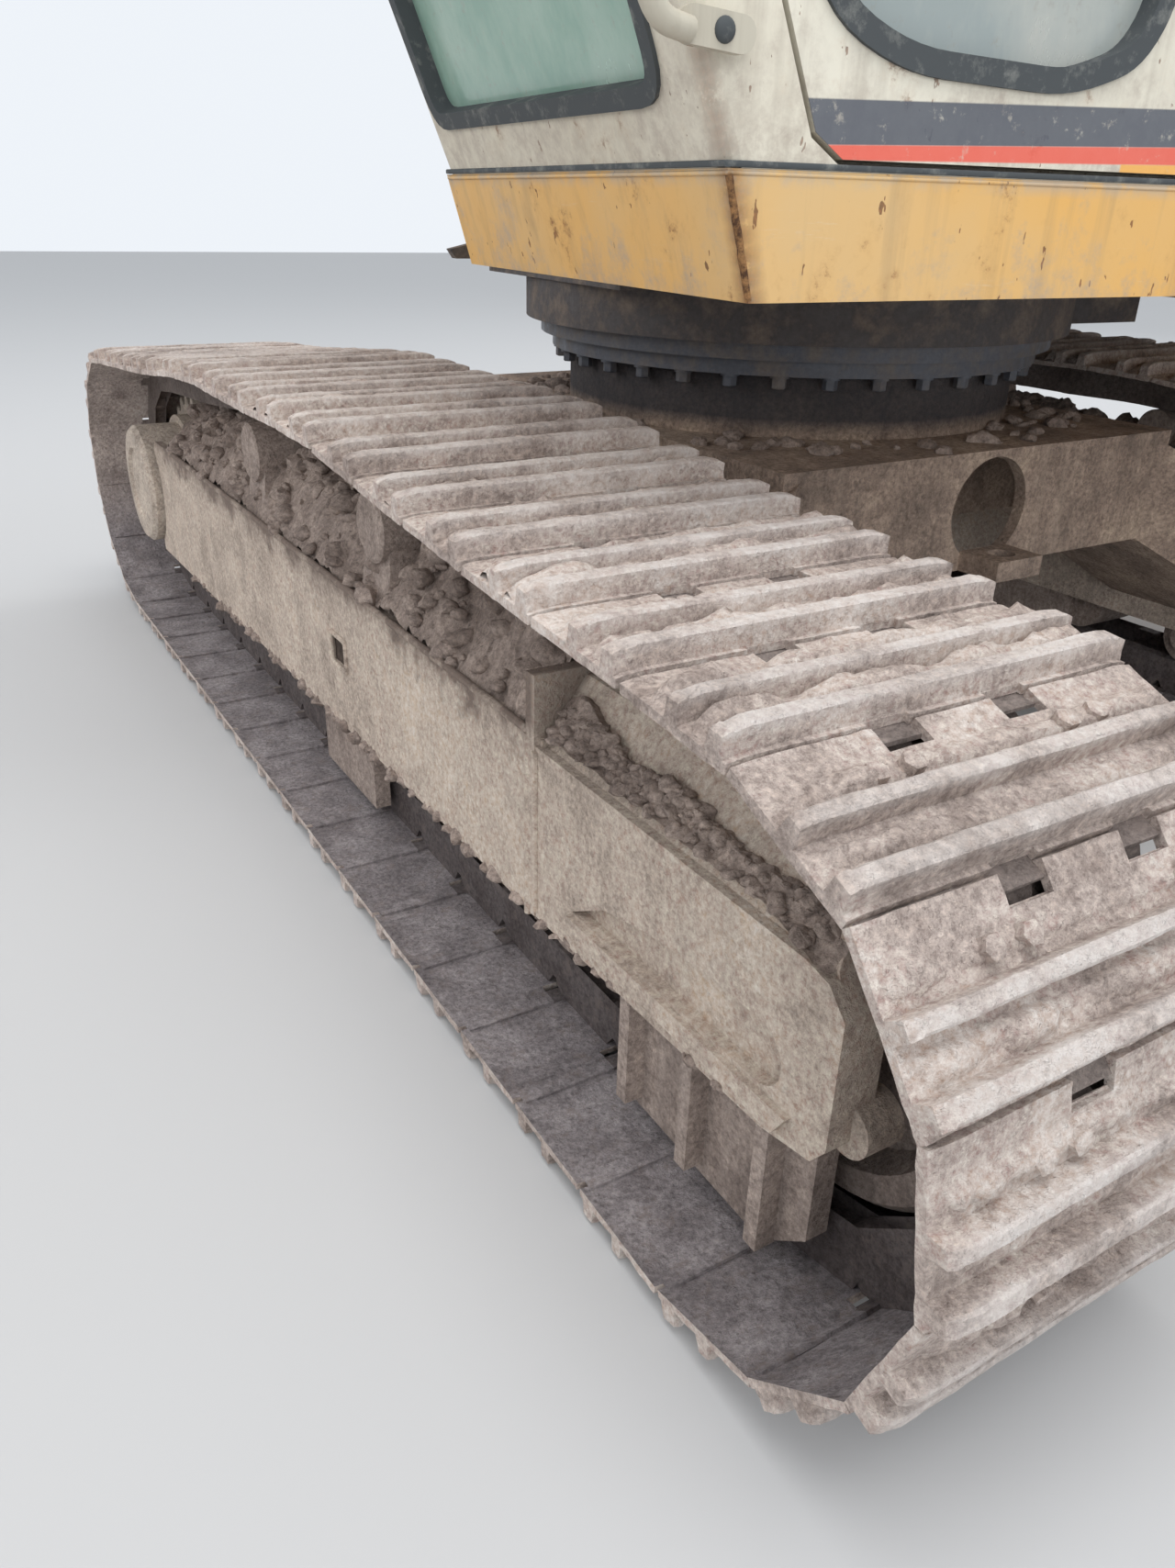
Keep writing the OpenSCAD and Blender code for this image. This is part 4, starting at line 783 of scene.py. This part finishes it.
# Painted plates: yellow and cream coats chalked by the sun, chipped through to rust, streaked
# by rain, splashed with mud from below and dusty on whatever faces up.
def painted(name, coat_tone, chalk, rust=0.8, dust=0.5, rough=0.55, splash=None, shift=0.0, rust_spots=()):
    """Worn paint; splash is where mud starts and ends upwards, rust_spots are points and radii."""
    coat = Finish(name, rough=rough, specular=0.4)
    broad = coat.noise(1.4, 4, 0.55, shift=shift)
    patch = coat.noise(6, 8, 0.70, shift=shift + 3)
    spots = coat.noise(34, 7, 0.75, shift=shift + 5)
    grain = coat.noise(160, 4, 0.7, shift=shift)
    coat.tone = coat.mix(broad.span(0.38, 0.62), coat_tone, chalk)
    drip = coat.noise(9, 5, 0.65, stretch=(2.4, 2.4, 0.12), shift=shift + 1)
    coat.over(drip.span(0.50, 0.74, 0.0, 0.30), (118, 104, 90))
    scuff = coat.noise(16, 6, 0.8, stretch=(0.25, 0.25, 3.5), shift=shift + 7)
    coat.over(scuff.span(0.62, 0.70, 0.0, 0.25), (214, 206, 190))
    chip = patch.span(0.59, 0.65) * spots.span(0.50, 0.57)
    speck = coat.noise(30, 3, 0.6, stretch=(1.7, 1.7, 0.8), shift=shift + 8)
    chip = coat.maths("MAXIMUM", chip, speck.span(0.685, 0.70))
    for point, radius in rust_spots:
        close = coat.near(point, radius) * spots.span(0.30, 0.44)
        chip = coat.maths("MAXIMUM", chip, close)
    halo = patch.span(0.54, 0.64) * spots.span(0.42, 0.54, 0.0, 0.35 * rust)
    coat.over(halo, (158, 112, 72))
    coat.over(chip * rust, coat.mix(grain.span(0.35, 0.65), (74, 46, 32), (138, 84, 50)))
    if splash:
        low = coat.axis(2) + patch.span(0.30, 0.70, -0.22, 0.22)
        low = low.span(*splash) * spots.span(0.40, 0.60, 0.10, 0.60)
        coat.over(low, (164, 151, 138))
    upwards = coat.node("SeparateXYZ", "Z", {0: coat.node("NewGeometry", "Normal", {})})
    coat.over(upwards.span(0.35, 0.95, 0.0, dust) * patch.span(0.30, 0.60, 0.35, 1.0), (158, 146, 132))
    coat.finish((chip, 0.35, -0.0015), (spots, 0.10, 0.003), (grain, 0.12, 0.0008),
        roughness=patch.span(0.35, 0.65, rough - 0.08, rough + 0.22))
    return coat

weld_spots = [((1.015 + 0.3 * (z - 1.20) - middle_x, 1.30, z), 0.034)
    for z in (1.20, 1.225, 1.25, 1.275, 1.30, 1.32, 1.34)]
band_coat = painted("deck_band_paint", (224, 172, 92), (212, 178, 126), splash=(1.24, 1.14), shift=1.5,
    rust_spots=weld_spots)
smear = band_coat.noise(12, 6, 0.7).span(0.42, 0.56) * band_coat.axis(2).span(1.328, 1.346)
band_coat.over(smear * 0.6, (168, 166, 160))
band_paint = band_coat.finish()
yellow_paint = painted("yellow_worn_paint", (222, 160, 62), (208, 162, 92), shift=4.0).material
clad(band_paint, "deck_plates")
clad(yellow_paint, "counterweight", "engine_bay_frame", "engine_hood", "left_side_door", "right_side_door",
    "fuel_tank", "hydraulic_tank", "tool_box", "handrails", "boom", "stick", "boom_cylinder_barrels",
    "stick_cylinder_barrel", "bucket_cylinder_barrel", "bucket_rocker", "bucket_link")
clad(greasy("under_deck_grime", (84, 80, 80), (130, 118, 108), 0.7), "revolving_frame", "engine_block")

def mottled(name, first, second, scale, edges, relief=None, stretch=None, **shine):
    """Two tones in patches: scale is a noise, edges are where it changes, relief is its bump."""
    coat = Finish(name, **shine)
    coat.patch = coat.noise(*scale, stretch=stretch)
    coat.tone = coat.mix(coat.patch.span(*edges), first, second)
    coat.finish(*([(coat.patch, *relief)] if relief else []))
    return coat

weld_rust = mottled("weld_rust", (78, 56, 42), (150, 112, 74), (70, 6, 0.75), (0.42, 0.60), (0.6, 0.003),
    rough=0.9, specular=0.2).material
corner_line = []
for k in range(22):
    z = 1.203 + 0.140 * k / 21
    wander = 0.003 * noise.noise(Vector((k * 0.55, 2, 0)))
    corner_line.append((1.0135 + 0.3 * (z - 1.20) + wander, 1.2985 + wander, z))
corner_weld = roughen(tube("deck_corner_weld", corner_line, 0.0048, sides=2), (0.012, 0.003))
settle(corner_weld, weld_rust, "upper", angle=60)
lip_x, lip_y, lip_z = 1.0590, 1.2990, 1.3450
edge_lip = tube("deck_edge_lip", ((lip_x, 0.36, lip_z), (lip_x, lip_y, lip_z), (-0.800, lip_y, lip_z)),
    0.0032)
settle(edge_lip, band_paint, "upper", angle=60)

# Cab: pressed steel panels in cream, chalky and grimy towards the bottom, with three stripes
# low on the left side: dark grey over red over yellow, running across the door.
def cab_paint(name, cream, chalk, shift, ends):
    """ends is where the stripes stop at the front."""
    rust_spots = [((1.060 + 0.4146 * (z - 1.35) - middle_x, 1.292, z), 0.026)
        for z in (1.37, 1.385, 1.40, 1.415, 1.43, 1.445, 1.46)]
    coat = painted(name, cream, chalk, rust=0.7, dust=0.35, rough=0.5, splash=(1.56, 1.36), shift=shift,
        rust_spots=rust_spots)
    side = coat.axis(1).span(1.2985, 1.2995) * coat.axis(0).span(ends + 0.001, ends)

    def line(z, slope):
        """One above a line that passes z at the front of the door and rises towards the rear."""
        height = coat.axis(2) + coat.axis(0) * slope
        level = z + slope * (0.95 - middle_x)
        return height.span(level - 0.0009, level + 0.0009)

    wear = coat.noise(30, 7, 0.75, shift=shift + 2).span(0.32, 0.42, 0.35, 0.93)
    top, middle, low = line(1.427, 0.028), line(1.378, 0.031), line(1.362, 0.021)
    dark_band = coat.maths("SUBTRACT", middle, top) * side
    red_band = coat.maths("SUBTRACT", low, middle) * side
    under_red = coat.maths("SUBTRACT", 1.0, low) * side
    rear = coat.axis(0).span(0.40 - middle_x + 0.004, 0.40 - middle_x)
    for mask, colour in ((dark_band, (84, 89, 99)), (red_band, (226, 98, 80)),
            (under_red * rear, (232, 172, 84))):
        coat.over(mask * wear, colour)
    return coat.finish()

clad(cab_paint("cab_cream_paint", (218, 212, 195), (208, 201, 183), 0.0, -0.06 - middle_x), "cab_shell")
clad(cab_paint("door_cream_paint", (222, 217, 201), (212, 206, 189), 6.0, 1.2 - middle_x), "cab_door")

# Windows: tinted panes, dusty and smeared, held all round by thick black rubber seals with
# rounded corners that are pressed over the edges of the panels.
def pane_finish(name, tint, film, clear):
    coat = mottled(name, tint, film, (5, 6, 0.65), (0.40, 0.66), stretch=(1.0, 1.0, 0.5), rough=0.12)
    coat.shader.inputs["Transmission Weight"].default_value = clear
    coat.shader.inputs["IOR"].default_value = 1.45
    coat.over(coat.noise(60, 5, 0.7).span(0.58, 0.72, 0.0, 0.5), (172, 170, 158))
    return coat.finish(roughness=coat.patch.span(0.35, 0.65, 0.06, 0.30))

clad(pane_finish("cab_glass_green", (156, 190, 174), (190, 214, 200), 0.25), "cab_glass")
clad(pane_finish("door_glass_grey", (174, 184, 182), (204, 206, 198), 0.30), "cab_door_glass")
rubber = mottled("window_rubber", (72, 76, 78), (134, 135, 130), (26, 7, 0.7), (0.52, 0.76), (0.25, 0.002),
    rough=0.75, specular=0.35).material

def grow(points, amount):
    """The outline moved outwards by the amount; a negative amount moves it inwards."""
    points = [Vector(point) for point in points]
    turning = sum(a.x * b.y - a.y * b.x for a, b in zip(points, points[1:] + points[:1]))
    outwards = 1 if turning > 0 else -1
    out = []
    for k, point in enumerate(points):
        before = (point - points[k - 1]).normalized()
        after = (points[(k + 1) % len(points)] - point).normalized()
        normal = Vector((before.y + after.y, -before.x - after.x)) * outwards
        normal.normalize()
        lean = max(0.35, normal.dot(Vector((before.y, -before.x)) * outwards))
        out.append(point + normal * amount / lean)
    return out

def gasket(outline, place, corner=0.06, width=0.030):
    """A rubber frame on a window's outline: flat outside, rounded at its edges, deep in the opening."""
    low, high = -0.026, 0.006
    ring = rounded(grow(outline, 0.016), corner, closed=True)
    mesh = bpy.data.meshes.new("gasket")
    mesh.from_pydata([(u, v, low) for u, v in ring], [], [list(range(len(ring)))])
    obj = link_mesh("gasket", mesh)
    edit_all(obj)
    bpy.ops.mesh.inset(thickness=width)
    bpy.ops.mesh.delete(type="FACE")
    bpy.ops.mesh.select_all(action="SELECT")
    lift(high - low)
    leave()
    soften(obj, 0.004, 2, lambda edge: all(vert.co.z > high - 0.0001 for vert in edge.verts)
        and len(edge.link_faces) == 2 and edge.calc_face_angle(0) > 0.8)
    obj.data.transform(place)
    turn_outwards(obj)
    return obj

def box_outline(u, v):
    return ((u[0], v[0]), (u[1], v[0]), (u[1], v[1]), (u[0], v[1]))

# the outlines count from the cab's rear lower corner or, for the two in front, from the deck's edge
cab_front, cab_back, deck_z, roof_z = 1.060, -0.780, 1.350, 2.950
cab_in, cab_left = 0.355, 1.300
on_left = move(cab_back, cab_left, deck_z) @ Matrix(((1, 0, 0, 0), (0, 0, 1, 0), (0, 1, 0, 0), (0, 0, 0, 1)))
on_right = move(cab_back, cab_in, deck_z) @ Matrix(((1, 0, 0, 0), (0, 0, -1, 0), (0, 1, 0, 0), (0, 0, 0, 1)))
on_rear = move(cab_back, cab_in, deck_z) @ Matrix(((0, 0, -1, 0), (1, 0, 0, 0), (0, 1, 0, 0), (0, 0, 0, 1)))
faces_out = Matrix(((0, 0, 1, 0), (1, 0, 0, 0), (0, 1, 0, 0), (0, 0, 0, 1)))
slope, lean = math.atan2(0.170, 0.410), -math.atan2(0.390, 0.780)
on_slope = move(cab_front, cab_in, deck_z) @ spin(slope, "Y") @ faces_out
on_screen = move(cab_front + 0.160, cab_in, deck_z + 0.710) @ spin(lean, "Y") @ faces_out
door_pane = ((0.810, 0.610), (1.722, 0.610), (1.742, 0.730), (1.522, 1.400), (0.810, 1.400))
low_pane = ((1.160, 0.210), (1.200, 0.150), (1.310, 0.115), (1.592, 0.125), (1.712, 0.175), (1.828, 0.450),
    (1.160, 0.450))
right_side = ((0.140, 0.550), (1.780, 0.550), (1.810, 0.700), (1.570, 1.410), (0.140, 1.410))
shell_seals = join([
    gasket(box_outline((0.060, 0.835), (0.090, 0.405)), on_slope, width=0.026),
    gasket(box_outline((0.060, 0.885), (0.060, 0.850)), on_screen),
    gasket(box_outline((0.140, 0.630), (0.640, 1.400)), on_left), gasket(right_side, on_right),
    gasket(box_outline((0.130, 0.815), (0.600, 1.350)), on_rear)], "cab_window_seals")
settle(shell_seals, rubber, "upper")
# dark rubber strips fill the gap between the cab's foot and the deck's edge, at the front and on the left:
# painted shade for that gap
strips = [soften(block("strip", low, high), 0.002, 2, long_edges(0.1)) for low, high in (
    ((1.0560, 0.362, 1.3510), (1.0655, 1.3025, 1.3585)),
    ((-0.775, 1.2940, 1.3510), (1.0560, 1.3025, 1.3585)))]
settle(join(strips, "cab_floor_gap_shade"), rubber, "upper")
door_seals = join([gasket(door_pane, on_left), gasket(low_pane, on_left, corner=0.09)], "door_window_seals")
settle(door_seals, rubber, "cab_door")

# Grab bar at the cab's front left corner: a bent tube with its lower end pressed flat and held
# by one big round-headed screw, painted with the cab; and the door's recessed pull handle.
def ball(name, segments, rings, shape):
    """A ball that the matrix puts in shape and place."""
    bpy.ops.mesh.primitive_uv_sphere_add(segments=segments, ring_count=rings, radius=1)
    obj = named(name)
    obj.data.transform(shape)
    return obj

hardware_paint = painted("cab_hardware_paint", (206, 200, 186), (188, 182, 166), rust=1.0, dust=0.2,
    shift=9.0).material
bar = tube("bar", rounded(((1.140, 1.328, 1.480), (1.186, 1.340, 1.486), (1.212, 1.344, 1.530),
    (1.262, 1.344, 1.680), (1.268, 1.344, 1.800), (1.262, 1.344, 2.180), (1.236, 1.318, 2.250),
    (1.205, 1.275, 2.270)), 0.030), 0.0140, sides=4)
foot = soften(block("foot", (-0.050, -0.007, -0.019), (0.050, 0.007, 0.019)), 0.0175, 4,
    lambda edge: abs(edge.verts[0].co.y - edge.verts[1].co.y) > 0.01)
foot.data.transform(move(1.102, 1.322, 1.483) @ spin(math.radians(-5), "Y"))
screw_x, screw_z = 1.094, 1.483
stud = cylinder("stud", 20, 0.016, 0.026, (screw_x, 1.311, screw_z), across=True)
settle(join([bar, foot, stud], "cab_grab_bar"), hardware_paint, "upper")
screw = ball("grab_bar_screw", 20, 10,
    move(screw_x, 1.329, screw_z) @ Matrix.Diagonal((0.0135, 0.007, 0.0135, 1)))
settle(screw, rubber, "upper")
plate = step_faces(block("door_handle", (0, 0, 0), (0.150, 0.012, 0.085)), facing(1),
    (0.016, 0), (0.004, -0.009))
lever = soften(block("lever", (0.022, 0.006, 0.034), (0.128, 0.014, 0.056)), 0.004, 2, long_edges(0.05))
settle(join([plate, lever], "door_handle"), rubber, "cab_door",
    on_upper @ move(0.540, cab_left, 1.875))

# Seat: a cushion, a high back and a headrest in dark cloth over foam, welted into channels, on
# a moulded pan with a bellows round its suspension.
cloth_coat = mottled("seat_cloth_weave", (52, 54, 60), (96, 88, 80), (9, 5, 0.6), (0.4, 0.66),
    rough=0.95, specular=0.2)
weave = cloth_coat.noise(420, 2, 0.5)
cloth_coat.over(weave.span(0.4, 0.6, 0.0, 0.6), (38, 39, 44))
cloth = cloth_coat.finish((weave, 0.35, 0.0008), (cloth_coat.patch, 0.2, 0.004))
plastic_coat = mottled("black_moulding", (38, 39, 42), (104, 98, 90), (20, 7, 0.7), (0.48, 0.72),
    rough=0.6, specular=0.4)
moulding = plastic_coat.finish((plastic_coat.noise(300, 3, 0.6), 0.2, 0.0006))
clad(moulding, "cab_consoles", "mirrors")
on_chair = on_upper @ move(cab_back + 0.330, (cab_in + cab_left) / 2, deck_z)

def cushion(name, low, high, channels, puff, place):
    """A stuffed block: its front face swells between sewn channels."""
    depth = high[0] - low[0]
    obj = block(name, low, high)
    edit_all(obj)
    bpy.ops.mesh.bevel(offset=min(high[2] - low[2], depth) * 0.30, segments=2, affect="EDGES")
    slice_at(channels, (0, 1, 0))
    slice_at([low[0] + depth * f for f in (0.3, 0.5, 0.7)], (1, 0, 0))
    leave()
    for vertex in obj.data.vertices:
        if vertex.co.z > high[2] - 0.02:
            near_seam = min(abs(vertex.co.y - c) for c in channels)
            rim = min(vertex.co.x - low[0], high[0] - vertex.co.x) / depth
            vertex.co.z += puff * min(1, rim * 4) * min(1, near_seam / 0.03) - 0.006 * (near_seam < 0.004)
    smooth = obj.modifiers.new("smooth", "SUBSURF")
    smooth.levels = smooth.render_levels = 2
    apply_all(obj)
    settle(obj, cloth, "upper", on_chair @ place, 60)
    turn_outwards(obj)

lean_back = math.atan2(0.090, 0.570)
upright = Matrix(((0, 0, 1, 0), (0, 1, 0, 0), (1, 0, 0, 0), (0, 0, 0, 1)))
back_turn = spin(-lean_back, "Y") @ upright
cushion("seat_cushion", (0.030, -0.245, 0), (0.520, 0.245, 0.105), (-0.150, 0.150), 0.022,
    move(0, 0, 0.345))
cushion("seat_back", (0.0, -0.235, -0.115), (0.560, 0.235, -0.010), (-0.145, 0.145), 0.016,
    move(0.115, 0, 0.455) @ back_turn)
cushion("seat_headrest", (0.0, -0.145, -0.075), (0.190, 0.145, -0.010), (-0.10, 0.10), 0.010,
    move(0.024, 0, 1.030) @ back_turn)
pan = block("pan", (0.010, -0.255, 0.300), (0.500, 0.255, 0.350))
taper(pan, faces_down, (0.86, 0.84, 1), (0.25, 0, 0.3))
folds = []
for k in range(6):
    size = 0.165 if k % 2 else 0.190
    low = 0.0605 + k * 0.040
    fold = block("fold", (0.240 - size, -size, low), (0.240 + size, size, low + 0.040))
    folds.append(taper(fold, faces_up, (0.9, 0.9, 1), (0.24, 0, 0)))
seat_base = join([pan] + folds, "seat_pan_and_bellows")
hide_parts("operator_seat")
settle(seat_base, moulding, "upper", on_chair)

# Controls: two joysticks with ribbed boots and shaped grips on the consoles, a small monitor on
# the right one, and rubber knobs on the travel levers.
controls = []
for side in (-1, 1):
    spot = Vector((0.500, side * 0.310, 0.520))
    for k in range(4):
        bpy.ops.mesh.primitive_cone_add(vertices=24, radius1=0.062 - 0.010 * k,
            radius2=0.050 - 0.010 * k, depth=0.022)
        boot = bpy.context.object
        boot.data.transform(move(*spot + Vector((0, 0, 0.012 + 0.022 * k))))
        controls.append(boot)
    controls.append(ball("grip", 20, 14, move(*spot + Vector((0.004, 0, 0.190)))
        @ spin(math.radians(8), "Y") @ Matrix.Diagonal((0.027, 0.025, 0.068, 1))))
    controls.append(ball("knob", 16, 10, move(1.240, side * 0.090, 0.520)
        @ Matrix.Diagonal((0.028, 0.028, 0.028, 1))))
screen = block("screen", (0.40, -0.42, 0.60), (0.43, -0.24, 0.74))
controls.append(step_faces(screen, facing(0, -1), (0.012, -0.004)))
controls.append(tube("stalk", ((0.42, -0.33, 0.515), (0.42, -0.33, 0.62)), 0.014))
settle(join(controls, "cab_controls"), moulding, "upper", on_chair)

# Front: boom and stick are boxes of thick plate with a weld bead in every corner between web
# and flange; pins are held by discs with two screws; four steel oil lines run up the boom.
def bead(name, outline, half, place):
    """Weld beads on both sides of a box, along its outline."""
    ring = grow(outline, -0.0165)
    spots = []
    for a, b in zip(ring, ring[1:] + ring[:1]):
        count = max(2, int((b - a).length / 0.06))
        spots += [a.lerp(b, k / count) for k in range(count)]
    rows = [tube("bead", [(p.x, side * half, p.y) for p in spots], 0.0065, closed=True, sides=1)
        for side in (-1, 1)]
    body = name.split("_")[0]
    settle(roughen(join(rows, name), (0.02, 0.004)), yellow_paint, body, on_upper @ place)

def pinned(spot, angle):
    return move(spot.x, 0, spot.y) @ spin(-angle, "Y")

def reach_from(pin, length, angle):
    return pin + length * Vector((math.cos(angle), math.sin(angle)))

boom_length, stick_length = 5.680, 2.920
stick_angle, bucket_angle = math.radians(-97), math.radians(-126.9)
boom_foot = Vector((0.080, 1.750))
tip_height = 1.480 * math.sin(-bucket_angle) + 0.016 - stick_length * math.sin(stick_angle)
boom_angle = math.asin((tip_height - boom_foot.y) / boom_length)
stick_pin = reach_from(boom_foot, boom_length, boom_angle)
bucket_pin = reach_from(stick_pin, stick_length, stick_angle)
on_boom = pinned(boom_foot, boom_angle)
on_stick = pinned(stick_pin, stick_angle)
on_bucket = pinned(bucket_pin, bucket_angle)
boom_outline = [(-0.14, -0.04), (0, -0.15), (0.26, -0.06), (0.9, 0.17), (1.5, 0.4), (2.25, 0.6),
    (2.9, 0.64), (3.6, 0.48), (5.25, -0.02), (5.25, 0.24), (3.0, 1.23), (2.55, 1.27), (2.05, 1.14),
    (1.2, 0.7), (0.3, 0.22), (0, 0.15)]
stick_outline = [(-0.83, 0.2), (-0.86, 0.3), (-0.8, 0.4), (-0.64, 0.4), (-0.2, 0.33), (0.18, 0.38),
    (0.6, 0.33), (2.62, 0.16), (2.86, 0.12), (3.01, 0.06), (3.01, -0.06), (2.86, -0.12), (2.42, -0.17),
    (0.34, -0.195), (0, -0.15), (-0.14, -0.06), (-0.4, 0.06)]
bead("boom_weld_beads", boom_outline, 0.179, on_boom)
bead("stick_weld_beads", stick_outline, 0.134, on_stick)

def pin_disc(x, z, y, radius, thick, place):
    """A retaining disc over a pin's end, with two screws, on the side that y points to."""
    disc = step_faces(cylinder("disc", 32, radius, 0.016), faces_up,
        (0.004, 0.003), (radius * 0.35, 0), (0.003, -0.003))
    screws = [cylinder("screw", 6, radius * 0.17, 0.012, (radius * side, 0, 0.012)) for side in (-0.5, 0.5)]
    whole = join([disc] + screws, "disc")
    whole.data.transform(Matrix.Diagonal((1, 1, thick, 1)))
    turn = spin(math.radians(-90 if y > 0 else 90), "X")
    whole.data.transform(place @ move(x, y + math.copysign(0.008 * thick, y), z) @ turn)
    return whole

worn_steel = greasy("worn_pin_steel", (120, 116, 110), (96, 74, 58), 0.5)
for body, place, thick, spots in (
        ("upper", Matrix.Identity(4), 1.0, ((boom_foot.x, boom_foot.y, 0.352, 0.062),)),
        ("boom", on_boom, 1.0, ((boom_length, 0, 0.192, 0.062), (2.350, 0.800, 0.222, 0.055))),
        ("stick", on_stick, 1.0, ((stick_length - 0.420, 0.020, 0.256, 0.050),)),
        ("bucket", on_bucket, 0.35, ((0, 0, 0.208, 0.058),))):
    discs = [pin_disc(x, z, side * y, radius, thick, place)
        for x, z, y, radius in spots for side in (-1, 1)]
    settle(join(discs, body + "_pin_discs"), worn_steel, body)

# the oil lines, a hand's width over the web's upper edge, with clamps
lines = []
for y in (-0.085, -0.045, 0.045, 0.085):
    path = [(0.35, y, 0.305), (1.18, y, 0.735), (2.03, y, 1.178), (2.54, y, 1.306), (2.72, y, 1.290)]
    lines.append(tube("line", rounded(path, 0.12), 0.0125))
for x, z, tilt in ((0.75, 0.500, 27.5), (1.62, 0.950, 27.5), (2.28, 1.232, 14.0)):
    clamp = soften(block("clamp", (-0.020, -0.110, -0.030), (0.020, 0.110, 0.016)), 0.006, 2, long_edges(0.1))
    clamp.data.transform(move(x, 0, z) @ spin(-math.radians(tilt), "Y"))
    lines.append(clamp)
settle(join(lines, "boom_oil_lines"), yellow_paint, "boom", on_upper @ on_boom)

# bucket and teeth: scoured bright inside and at the edges, brown with soil elsewhere
scoured = Finish("bucket_scoured", rough=0.45, metallic=0.75, specular=0.5)
broad = scoured.noise(3.0, 5, 0.6)
scrape = scoured.noise(14, 6, 0.7, stretch=(0.2, 2.5, 1.0))
grain = scoured.noise(80, 5, 0.7)
scoured.tone = scoured.mix(scrape.span(0.42, 0.62), (150, 146, 140), (104, 92, 82))
muddy = broad.span(0.46, 0.60) * grain.span(0.30, 0.55, 0.4, 1.0)
scoured.put(scoured.shader.inputs["Metallic"], muddy.span(0.1, 0.6, 0.75, 0.05))
scoured.over(muddy, (126, 112, 100))
clad(scoured.finish((scrape, 0.25, 0.003), (grain, 0.3, 0.002),
    roughness=broad.span(0.42, 0.60, 0.40, 0.9)), "bucket", "bucket_teeth")
chrome = mottled("rod_hard_chrome", (206, 206, 208), (160, 150, 138), (30, 5, 0.6), (0.45, 0.70),
    stretch=(1, 1, 0.3), rough=0.12, metallic=1.0)
clad(chrome.finish(roughness=chrome.patch.span(0.35, 0.70, 0.08, 0.35)), "boom_cylinder_rods",
    "stick_cylinder_rod", "bucket_cylinder_rod")

# Rear and right side: exhaust, lamps, mirror, the louvres and catches of the side doors, filler
# caps on the tanks and grip strips on the steps.
soot = mottled("exhaust_soot", (44, 38, 36), (112, 72, 50), (18, 7, 0.72), (0.45, 0.62), (0.4, 0.002),
    rough=0.8, specular=0.3).material
clad(soot, "exhaust_stack")
lamp_black = greasy("lamp_housing", (52, 52, 54), (110, 100, 90), 0.5)
clad(lamp_black, "work_lamps")
lens_glass = mottled("lamp_lens", (196, 198, 196), (232, 232, 226), (8, 2, 0.4), (0.35, 0.65), (0.4, 0.002),
    stretch=(1, 14, 1), rough=0.15, specular=0.6).material
lenses = [ball("lens", 28, 12, move(*spot) @ Matrix.Diagonal((0.014, 0.052, 0.052, 1))) for spot in (
    (0.710, cab_in + 0.150, roof_z + 0.0903), (0.710, cab_left - 0.150, roof_z + 0.0903),
    (0.400, -1.040, deck_z + 0.382))]
settle(join(lenses, "lamp_lenses"), lens_glass, "upper", angle=60)

silver = mottled("mirror_silver", (210, 214, 216), (170, 168, 160), (12, 5, 0.6), (0.5, 0.7), rough=0.06,
    metallic=1.0).material
mirror = soften(block("mirror_glass", (-0.006, -0.078, -0.118), (0, 0.078, 0.118)), 0.02, 4,
    lambda edge: abs(edge.verts[0].co.x - edge.verts[1].co.x) > 0.004)
settle(mirror, silver, "upper", on_upper @ move(0.310, -1.270, deck_z + 1.510))

bay_front, bay_rear, bay_top = cab_back - 0.046, -2.000, deck_z + 0.890
blade_y = 1.27
for side, name in ((1, "left"), (-1, "right")):
    parts = []
    for k in range(8):
        z = deck_z + 0.150 + 0.070 * k
        blade = block("blade", (bay_rear + 0.200, -0.002, -0.004), (bay_front - 0.200, 0.002, 0.044))
        blade.data.transform(move(0, blade_y, z) @ spin(math.radians(38), "X"))
        parts.append(blade)
    for z in (deck_z + 0.10, bay_top - 0.14):
        catch = block("catch", (bay_front - 0.135, 1.300, z), (bay_front - 0.065, 1.318, z + 0.045))
        parts.append(step_faces(catch, facing(1), (0.008, -0.006)))
    grille = join(parts, name + "_door_blades")
    grille.data.transform(Matrix.Diagonal((1, side, 1, 1)))
    turn_outwards(grille)
    settle(grille, lamp_black, name + "_door")

# filler caps with three grips, and raised grip strips on the steps and the front of the right deck
extras = []
for x, y, z, radius in ((-0.580, -0.900, deck_z + 0.900, 0.088), (-0.170, -1.000, deck_z + 0.810, 0.068)):
    cap = cylinder("filler", 30, radius, 0.026, (x, y, z + 0.013))
    extras.append(step_faces(cap, faces_up, (0.010, 0.004)))
    for k in range(3):
        grip = block("grip", (radius * 0.2, -0.008, 0), (radius * 0.9, 0.008, 0.018))
        grip.data.transform(move(x, y, z + 0.028) @ spin(k * 2.094, "Z"))
        extras.append(grip)
for first, last, z in ((0.110, 0.250, deck_z + 0.480), (0.300, 0.380, deck_z + 0.270)):
    count = max(2, int((last - first) / 0.045))
    for k in range(count):
        x = first + (last - first) * k / (count - 1)
        extras.append(block("strip", (x - 0.007, -1.20, z), (x + 0.007, -0.48, z + 0.005)))
settle(join(extras, "caps_and_step_strips"), lamp_black, "upper")
